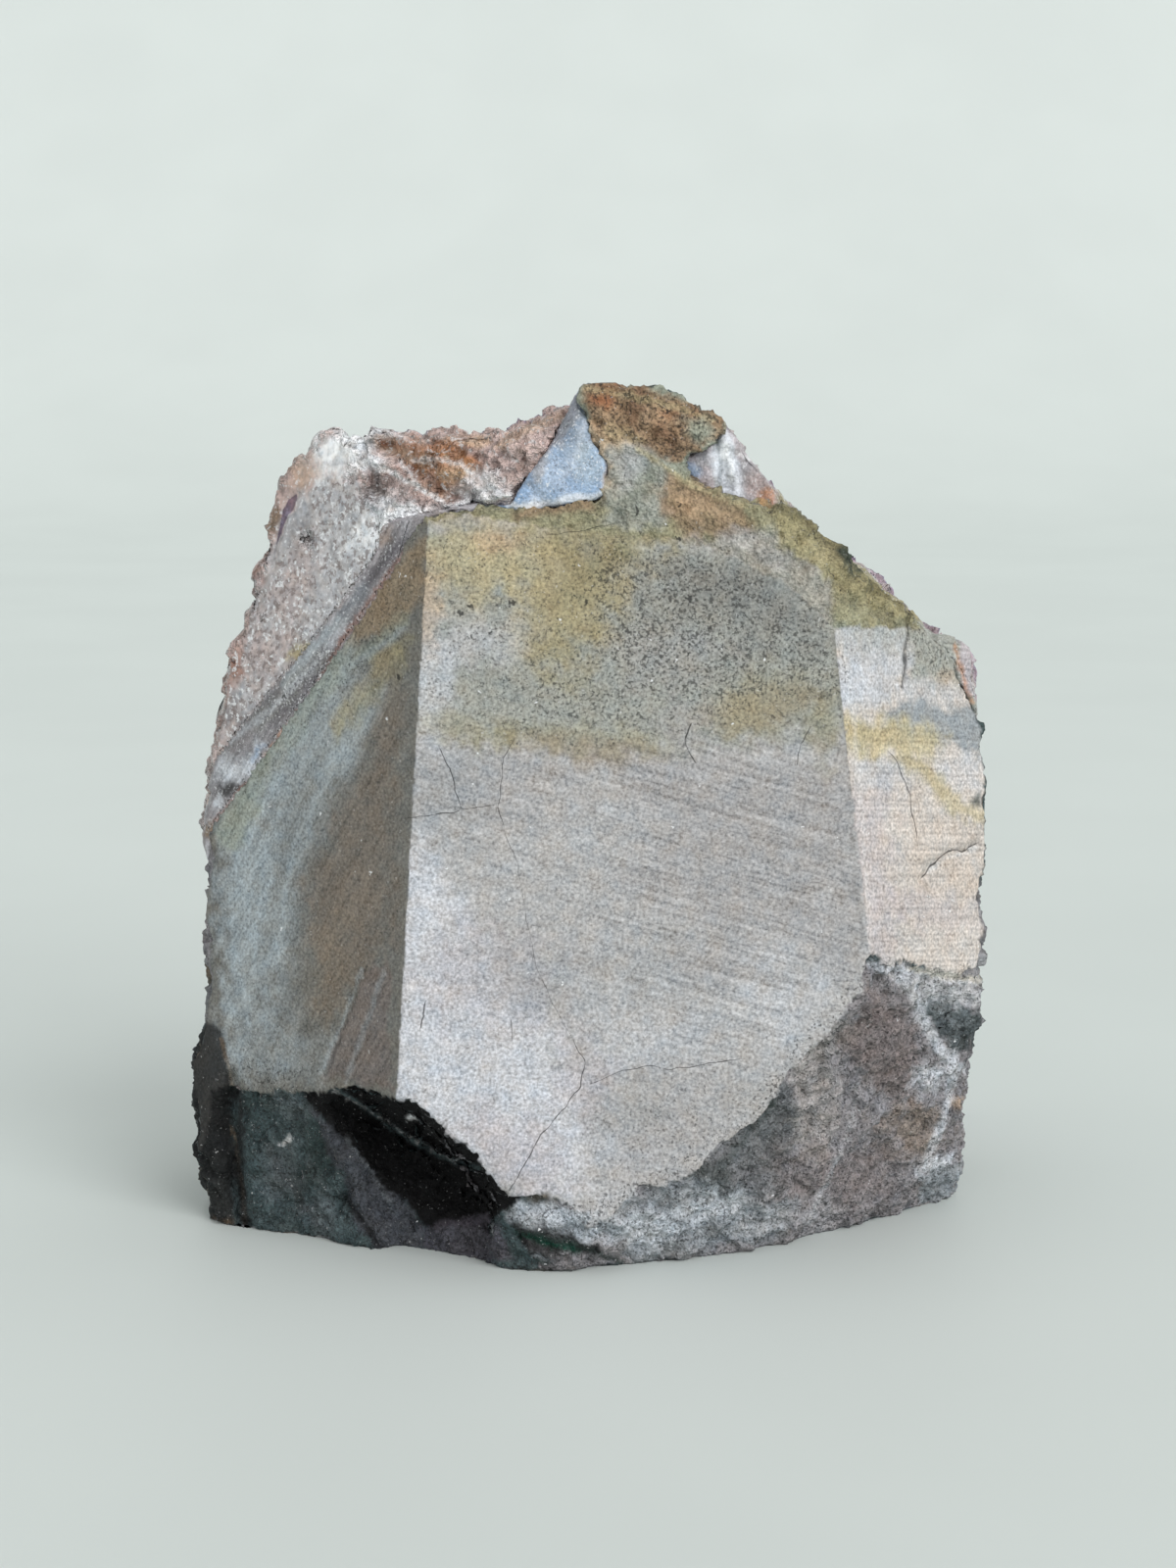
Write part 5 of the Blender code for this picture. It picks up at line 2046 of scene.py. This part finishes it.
QUARTZ_STROKES: Strokes = (
    (Tone.ROSE, 0.5, EVERYWHERE),
    (Tone.ROSE, 1.0, area(
        20, (170, 800), (231, 751), (276, 703), (340, 639), (400, 552), (440, 528), (560, 515), (780, 440),
        (560, 340), (290, 380), (220, 560), (160, 700))),
    # The sawn face on the left.
    (Tone.SILVER, 0.85, area(
        8, (404, 552), (344, 639), (276, 706), (225, 755), (262, 610), (300, 500), (370, 490))),
    (Tone.PURPLE_GREY, 0.6, line(9, (396, 562), (344, 638), (286, 700), (240, 754))),
    (Tone.SILVER, 0.5, line(2, (392, 556), (350, 606), (300, 660))),
    (Tone.SILVER, 0.4, line(2, (372, 556), (330, 604), (286, 660))),
    (Tone.SILVER, 0.5, Oval(345, 560, 44, 34, -40)),
    (Tone.ROSE, 0.5, Oval(298, 600, 20, 50, 24)),
    (Tone.ROSE, 0.5, Oval(276, 670, 22, 34, 24)),
    (Tone.PALE_OCHRE, 0.9, Oval(306, 668, 12, 7, -30)),
    (Tone.OCHRE, 0.5, line(4, (304, 668), (325, 658), (342, 648))),
    (Tone.RUST, 0.6, Oval(243, 680, 8, 20, 14)),
    (Tone.RUST, 0.4, Oval(262, 590, 6, 14, 14)),
    (Tone.BROWN, 0.8, Oval(280, 532, 6, 16, 10)),
    (Tone.PURPLE_BROWN, 0.5, Oval(236, 730, 8, 16, 10)),
    (Tone.PURPLE_GREY, 0.4, Oval(300, 540, 12, 24, 20)),
    # The icy shoulder and the white patches.
    (Tone.FROST, 0.9, Oval(358, 462, 38, 28, -12)),
    (Tone.FROST, 0.9, Oval(352, 458, 26, 14, -14)),
    (Tone.PURPLE_GREY, 0.25, line(2.0, (340, 474), (360, 470), (378, 462))),
    (Tone.PEACH, 0.5, Oval(310, 480, 16, 14, -30)),
    (Tone.SILVER, 0.6, Oval(380, 520, 40, 16, -30)),
    (Tone.FROST, 0.95, Oval(412, 526, 34, 10, -14)),
    (Tone.FROST, 1.0, Oval(404, 548, 16, 14)),
    (Tone.FROST, 0.8, line(3, (380, 500), (400, 516), (430, 520), (460, 520))),
    (Tone.FROST, 0.7, Oval(386, 532, 18, 9, -40)),
    (Tone.FROST, 0.5, Oval(370, 552, 12, 18, 40)),
    (Tone.PURPLE_GREY, 0.9, Oval(410, 546, 4, 6)),
    (Tone.PLUM, 0.9, area(2, (420, 530), (442, 530), (410, 565))),
    # The broken crest.
    (Tone.ROSE, 0.7, area(
        8, (400, 470), (440, 455), (500, 462), (530, 470), (500, 515), (440, 520), (405, 500))),
    (Tone.BROWN, 0.85, Oval(394, 458, 15, 10, 10)),
    (Tone.DEEP_RUST, 0.8, Oval(396, 456, 8, 5, 10)),
    (Tone.PURPLE_BROWN, 0.8, Oval(388, 497, 17, 11, -20)),
    (Tone.RUST, 0.75, Oval(456, 486, 36, 17, 8)),
    (Tone.ORANGE, 0.6, Oval(440, 470, 30, 12, 8)),
    (Tone.DEEP_RUST, 0.6, Oval(464, 506, 20, 6, 4)),
    (Tone.DEEP_RUST, 0.5, Oval(428, 480, 9, 8)),
    (Tone.DEEP_RUST, 0.4, Oval(488, 470, 10, 7)),
    (Tone.PEACH, 0.9, Oval(458, 482, 17, 9, 10)),
    (Tone.PEACH, 0.35, Oval(452, 492, 30, 14, 6)),
    (Tone.ORANGE, 0.6, Oval(476, 476, 14, 6, 10)),
    (Tone.DEEP_RUST, 0.5, Oval(446, 494, 8, 4, 20)),
    (Tone.DEEP_RUST, 0.5, Oval(474, 492, 9, 4, -10)),
    (Tone.PEACH, 0.6, Oval(420, 466, 16, 6, 10)),
    (Tone.FROST, 0.7, line(1.4, (408, 470), (420, 484), (428, 500))),
    (Tone.FROST, 0.6, line(1.2, (470, 470), (478, 482), (492, 488))),
    (Tone.FROST, 0.6, line(2, (420, 470), (446, 468), (470, 474))),
    (Tone.FROST, 0.8, line(2.6, (372, 470), (400, 482), (430, 500), (452, 512))),
    (Tone.FROST, 0.5, line(2, (396, 440), (420, 452), (452, 448))),
    (Tone.ORANGE, 0.7, Oval(440, 456, 32, 8, 4)),
    (Tone.PEACH, 0.7, Oval(484, 452, 26, 7, 6)),
    (Tone.FROST, 0.8, Oval(500, 500, 28, 13, -4)),
    (Tone.ROSE, 0.7, Oval(524, 486, 10, 14, 30)),
    (Tone.FROST, 1.0, line(3.0, (455, 518), (485, 514), (520, 506))),
    (Tone.PINK, 0.85, Oval(545, 452, 30, 14, -34)),
    (Tone.PEACH, 0.5, line(5, (510, 452), (540, 437), (572, 424))),
    (Tone.ROSE, 0.7, Oval(530, 470, 14, 12, -34)),
)

QUARTZ_CREST = area(
    6, (262, 610), (285, 510), (325, 420), (600, 370), (760, 430), (560, 500), (522, 520), (470, 522),
    (430, 525), (400, 520), (370, 478), (320, 500), (290, 560),
)


@dataclass
class QuartzBed(StonePiece):
    """The milky quartz that the crystals stand on, sawn at the left and broken at the top."""

    node: str = "amethyst_druse"
    name: str = "quartz_bed"
    slot: str = "amethyst"
    voxel: float = 0.35
    inset: float = 0.06
    pepper: float = 0.35
    line_strength: float = 0.3
    finish: StoneFinish = StoneFinish(
        "milky_quartz", dark=Tone.PURPLE_BROWN, pale=Tone.FROST, grain_size=0.72, grain_contrast=0.36,
        dark_strength=0.65, pale_amount=0.85, pale_strength=0.75, cloud_size=1.6, cloud_contrast=0.20,
        relief_shading=0.55, broken_gain=0.26, relief_size=1.5, roughness=0.45, polish=-0.2,
        specular=0.5, bump=0.8,
    )
    strokes: tuple[tuple[Face | None, Strokes], ...] = ((None, QUARTZ_STROKES),)
    dents: Amounts = (
        (2.0, Oval(393, 458, 15, 10, 10)),
        (-0.9, Oval(350, 464, 22, 14, -20)),
        (1.0, Oval(388, 497, 18, 11, -20)),
        (1.3, Oval(458, 484, 36, 14, 8)),
        (1.2, Oval(458, 505, 26, 7, 4)),
        (-1.2, Oval(458, 482, 15, 8, 10)),
        (-0.9, Oval(465, 455, 44, 9, 3)),
        (-0.8, Oval(498, 498, 24, 12)),
        (-0.6, line(3.4, (455, 517), (485, 514), (520, 506))),
        (-0.6, Oval(545, 450, 26, 11, -34)),
        (1.0, Oval(424, 478, 9, 12, 20)),
        (0.5, Oval(409, 547, 5, 6)),
        (-0.4, Oval(405, 528, 24, 9, -10)),
        (0.8, line(5, (300, 505), (284, 540), (272, 580), (262, 620))),
        (-0.5, Oval(268, 588, 8, 14, 14)),
        (-0.5, Oval(246, 680, 12, 22, 14)),
    )
    peppers: Amounts = (
        (0.85, area(
            8, (400, 552), (340, 639), (276, 703), (225, 755), (250, 610), (300, 500), (370, 490))),
        (0.3, QUARTZ_CREST),
        (0.1, Oval(362, 462, 36, 20, -12)),
    )
    relief: tuple[Lumps, ...] = (
        Lumps(0.4, seed=401, size=4.5, octaves=2),
        Lumps(0.2, seed=402, size=1.6, octaves=2),
        Lumps(0.8, seed=403, size=2.8),
        Lumps(0.35, seed=404, size=1.4),
    )
    edge_reach: float = 14.0
    edge_depth: float = 3.0

    SWELL = 0.35  # how far the broken faces stand out
    DEEPEST = 0.3  # how far they fall back at most
    BULGE = 0.35  # how far the outer rim stands out further
    OVERLAP = 0.7
    MILK = Stain(Tone.WHITE, 0.5, (-0.3, 0.6), seed=322, size=4.0)
    RUST = Stain(Tone.PEACH, 0.45, (0.25, 0.9), seed=321, size=9.0)

    def start(self) -> bpy.types.Object:
        """Copy the CAD node without most of its crystals.

        Returns:
            The copy.
        """
        obj = super().start()
        trim(obj, layer_wall("bed_reach", -60.0, self.edge_reach), "INTERSECT")
        return obj

    def inside(self, points: Points) -> Values:
        """Measure how deep each point lies behind the nearer of the two sawn sides."""
        return np.min([-saw.height(points) for saw in SIDE_SAWS], axis=0)

    def limit(self, points: Points) -> Values:
        """Say how far back the bed reaches: further where a saw cut through the crystals.

        Args:
            points: places in millimetres.

        Returns:
            How far behind the band it reaches at each point, in millimetres.
        """
        near = smooth_step(self.edge_depth, 0.4 * self.edge_depth, self.inside(points))
        left = smooth_step(-29.0, -34.0, points[:, 0]) * smooth_step(50.0, 60.0, points[:, 2])
        return LAYERS.bed + 0.3 + (self.edge_reach - LAYERS.bed) * np.maximum(near, left)

    def hidden(self, points: Points) -> np.ndarray:
        """Say which points lie against the band or under the crystals.

        Args:
            points: places in millimetres.

        Returns:
            True for those that are out of sight.
        """
        behind = LAYERS.behind_band(points)
        under = (behind > LAYERS.bed + 0.1) & (self.inside(points) > self.edge_depth)
        return (np.abs(behind - LAYERS.gap) < COVERED) | under | (points[:, 2] < COVERED)

    def roughen(self, skin: Skin) -> None:
        """Keep the bed's depth, and give its broken faces crystal facets, lumps and ridges.

        Args:
            skin: the piece's points.
        """
        behind = LAYERS.behind_band(skin.points)
        depth = behind - self.limit(skin.points)
        skin.points -= np.maximum(depth, 0.0)[:, None] * LAYERS.back()
        skin.refresh()
        contact = np.abs(behind - LAYERS.gap) < COVERED
        back = smooth_step(-0.5, 0.2, depth)
        rough = self.rough(skin, contact) * (1.0 - back)
        skin.push(rough * np.maximum(self.SWELL + self.lift(skin), -self.DEEPEST))
        outer = smooth_step(LAYERS.bed - 1.5, LAYERS.bed - 0.5, behind) * rough
        skin.push(self.BULGE * outer)
        tuck_under(skin, LAYERS.behind_band(skin.points), self.OVERLAP)

    def base(self, skin: Skin) -> np.ndarray:
        """Colour the rest: milky at the front, violet towards the crystals, a little rusty.

        Args:
            skin: the piece's points.

        Returns:
            Linear colours.
        """
        deep = smooth_step(1.0, 7.0, LAYERS.behind_band(skin.points))
        deep = deep * (1.0 - smooth_step(-24.0, -30.0, skin.points[:, 0]))
        colour = self.MILK.lay(super().base(skin), skin.points)
        colour = blend(colour, Tone.AMETHYST, 0.75 * deep)
        return blend(colour, self.RUST.tone, self.RUST.share(skin.points) * (1.0 - 0.7 * deep))


@dataclass
class CrystalField:
    """The six-sided crystals behind the quartz bed, with small ones in the gaps between them."""

    box: Box
    node: str = "amethyst_druse"
    name: str = "amethyst_crystals"
    slot: str = "amethyst"
    seed: int = 5
    tries: int = 420
    radius: tuple[float, float] = (1.3, 2.9)
    shaft: tuple[float, float] = (0.7, 1.6)
    tip: tuple[float, float] = (1.0, 1.4)
    lean: float = 0.35
    root: float = 1.2
    highest: float = 2.2
    sawn_depth: float = 0.5
    finish: CrystalFinish = CrystalFinish()

    TAPER = 0.96
    FLATTEST = 0.75
    OFF_CENTRE = 0.25  # how far the point lies beside the axis, in radii
    ROOM = 1.3  # how much bed each crystal needs around it, in radii
    OUTWARD = (0.0, 0.9, 0.4)
    OUTSIDE = 200.0
    VIOLET = (1.0, 9.0)  # how far behind the bed the violet starts and is full

    def add_crystal(self, bm: bmesh.types.BMesh, foot: Vector, axis: Vector, radius: float,
                    draw: random.Random) -> None:
        """Add one crystal.

        Args:
            bm: the mesh to add it to, in millimetres.
            foot: the middle of its root.
            axis: the way it points.
            radius: half its width across the corners.
            draw: picks its proportions.
        """
        shaft = self.root + radius * draw.uniform(*self.shaft)
        turn = axis.to_track_quat("Z", "Y").to_matrix().to_4x4()
        spin = Matrix.Rotation(draw.uniform(0.0, math.tau), 4, "Z")
        flatten = Matrix.Diagonal((1.0, draw.uniform(self.FLATTEST, 1.0), 1.0, 1.0))
        middle = Matrix.Translation((0.0, 0.0, shaft / 2.0))
        ring = bmesh.ops.create_cone(
            bm, cap_ends=True, segments=6, radius1=radius, radius2=radius * self.TAPER,
            depth=shaft, matrix=Matrix.Translation(foot) @ turn @ spin @ flatten @ middle,
        )
        sides = {face for vert in ring["verts"] for face in vert.link_faces}
        cap = max(sides, key=lambda face: face.calc_center_median().dot(axis))
        point = bmesh.ops.poke(bm, faces=[cap])["verts"][0]
        off = self.OFF_CENTRE
        aside = Vector((draw.uniform(-off, off), draw.uniform(-off, off), 0.0))
        point.co += axis * radius * draw.uniform(*self.tip) + (turn @ spin @ aside) * radius

    def surface(self, tree: BVHTree, across: float, height: float) -> Vector | None:
        """Find where the level line through a place of the sheet meets the back of the cluster."""
        start = Vector(LAYERS.back()) * self.OUTSIDE + Vector((across, 0.0, height))
        return tree.ray_cast(start, -Vector(LAYERS.back()))[0]

    def small_ones(self, obj: bpy.types.Object) -> bpy.types.Object:
        """Grow small crystals wherever the large ones leave the bed bare.

        Args:
            obj: the large crystals.

        Returns:
            The small ones, as a hidden object.
        """
        draw = random.Random(self.seed)
        bm = bmesh.new()
        bm.from_mesh(obj.data)
        bmesh.ops.scale(bm, vec=(1.0 / MM, 1.0 / MM, 1.0 / MM), verts=bm.verts)
        tree = BVHTree.FromBMesh(bm)
        bm.free()
        grown = bmesh.new()
        low, high = (corner / MM for corner in self.box)
        for _ in range(self.tries):
            across, height = draw.uniform(low.x, high.x), draw.uniform(low.z, high.z)
            radius = draw.uniform(*self.radius)
            place = self.surface(tree, across, height)
            if place is None:
                continue
            behind = float(LAYERS.behind_band(np.array([place]))[0]) - LAYERS.bed - LAYERS.gap
            margin = self.ROOM * radius
            around = [
                self.surface(tree, across + dx, height + dz)
                for dx, dz in ((margin, 0.0), (-margin, 0.0), (0.0, margin), (0.0, -margin))
            ]
            if behind > self.highest or None in around:
                continue
            outward = Vector(self.OUTWARD) + Vector(LAYERS.back()) * 0.3
            lean = Vector((draw.gauss(0.0, 1.0), 0.0, draw.gauss(0.0, 1.0))) * self.lean
            axis = (outward + lean).normalized()
            self.add_crystal(grown, place - axis * self.root, axis, radius, draw)
        return cutter("small_crystals", grown)

    def build(self) -> Skin:
        """Make the mesh.

        Returns:
            Its points: flat-sided crystals joined into one closed surface.
        """
        obj = plain_copy(self.node, self.name)
        trim(obj, layer_wall("crystal_reach", LAYERS.bed - 0.7, self.OUTSIDE), "INTERSECT")
        trim(obj, self.small_ones(obj), "UNION", "EXACT")
        skin = Skin(obj)
        for saw in SIDE_SAWS:
            over = np.maximum(saw.height(skin.points) + self.sawn_depth, 0.0)
            skin.points -= over[:, None] * saw.unit()
        skin.refresh()
        return skin

    def dress(self, skin: Skin) -> bpy.types.Object:
        """Give the crystals their material; each point knows how far out it lies.

        Args:
            skin: their points.

        Returns:
            The finished piece.
        """
        behind = LAYERS.behind_band(skin.points) - LAYERS.bed
        skin.store("tip", smooth_step(*self.VIOLET, behind))
        settle(skin.obj, self.finish.material(), self.node, False)
        return skin.obj


@dataclass
class Studio:
    """The pale floor and wall, the soft light and the camera."""

    paper_tone: tuple[int, int, int] = (216, 223, 220)
    paper_roughness: float = 0.6
    sun_from: tuple[float, float, float] = (0.55, -0.70, 0.6)
    sun_spread: float = 40.0
    sun_strength: float = 1.47
    sky: float = 0.65
    lens: float = 72.0
    sensor: float = 36.0

    def paper(self) -> bpy.types.Material:
        """Make the plain matt paper, with a faint unevenness.

        Returns:
            The material.
        """
        material, graph, shader, _ = new_material("sweep_paper")
        cloud = graph.noise(graph.millimetres(), 0.01, 2.0)[0]
        level = graph.spread(cloud, 0.3, 0.7, 0.97, 1.0)
        colour = graph.shaded(rgba(self.paper_tone), level)
        graph.fill(shader, {"Base Color": colour, "Roughness": self.paper_roughness})
        return material

    def sweep(self) -> bpy.types.Object:
        """Make the floor, which curves up into the wall far behind the cluster.

        Returns:
            The sweep.
        """
        front, bend, radius, top, half_width, steps = -3.0, 1.0, 0.6, 4.0, 4.0, 12
        turns = [math.pi / 2.0 * step / steps for step in range(1, steps + 1)]
        profile = [(front, 0.0), (bend, 0.0)]
        profile += [(bend + radius * math.sin(turn), radius - radius * math.cos(turn)) for turn in turns]
        profile.append((bend + radius, top))
        bm = bmesh.new()
        rows = [[bm.verts.new((x, y, z)) for y, z in profile] for x in (-half_width, half_width)]
        for i in range(len(profile) - 1):
            bm.faces.new((rows[0][i], rows[1][i], rows[1][i + 1], rows[0][i + 1]))
        mesh = bpy.data.meshes.new("studio_sweep")
        bm.to_mesh(mesh)
        bm.free()
        mesh.polygons.foreach_set("use_smooth", [True] * len(mesh.polygons))
        mesh.materials.append(self.paper())
        return new_object("studio_sweep", mesh)

    def sun(self) -> None:
        """Hang one broad soft light, high on the right and before the cluster."""
        data = bpy.data.lights.new("soft_key", "SUN")
        data.energy = self.sun_strength
        data.angle = math.radians(self.sun_spread)
        turn = Vector(self.sun_from).to_track_quat("Z", "Y").to_euler()
        new_object("soft_key", data).rotation_euler = turn

    def world(self) -> None:
        """Fill the room with even soft light."""
        world = bpy.data.worlds.new("studio_world")
        world.use_nodes = True
        node = world.node_tree.nodes["Background"]
        node.inputs["Color"].default_value = (1.0, 1.0, 1.0, 1.0)
        node.inputs["Strength"].default_value = self.sky
        bpy.context.scene.world = world

    def camera(self) -> None:
        """Put the camera at the eye that the sheet is laid out from."""
        data = bpy.data.cameras.new("camera")
        data.lens = self.lens
        data.sensor_width = self.sensor
        obj = new_object("camera", data)
        obj.location = Vector(SHEET.eye) * MM
        aim = Vector(SHEET.aim) - Vector(SHEET.eye)
        obj.rotation_euler = aim.to_track_quat("-Z", "Y").to_euler()
        bpy.context.scene.camera = obj

    def build(self) -> None:
        """Set the studio up."""
        self.sweep()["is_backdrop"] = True
        self.sun()
        self.world()
        self.camera()
        bpy.context.scene.view_settings.view_transform = "Standard"


def corners(bounds: Box) -> list[list[float]]:
    """Give the two corners of a box as plain lists."""
    return [list(corner) for corner in bounds]


def main() -> None:
    """Load the frame, build and dress each piece, and set up the studio."""
    logging.basicConfig(level=logging.INFO, format="%(message)s")
    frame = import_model()
    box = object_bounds()
    LOG.info("frame: %d nodes", len(frame["nodes"]))
    Effects().build()
    for kind in (BasaltBlock, AgateBand, QuartzBed, CrystalField):
        piece = kind(box=box)
        obj = piece.dress(piece.build())
        LOG.info("%s: %d faces", obj.name, len(obj.data.polygons))
    Studio().build()
    bpy.context.view_layer.update()


if __name__ == "__main__":
    main()
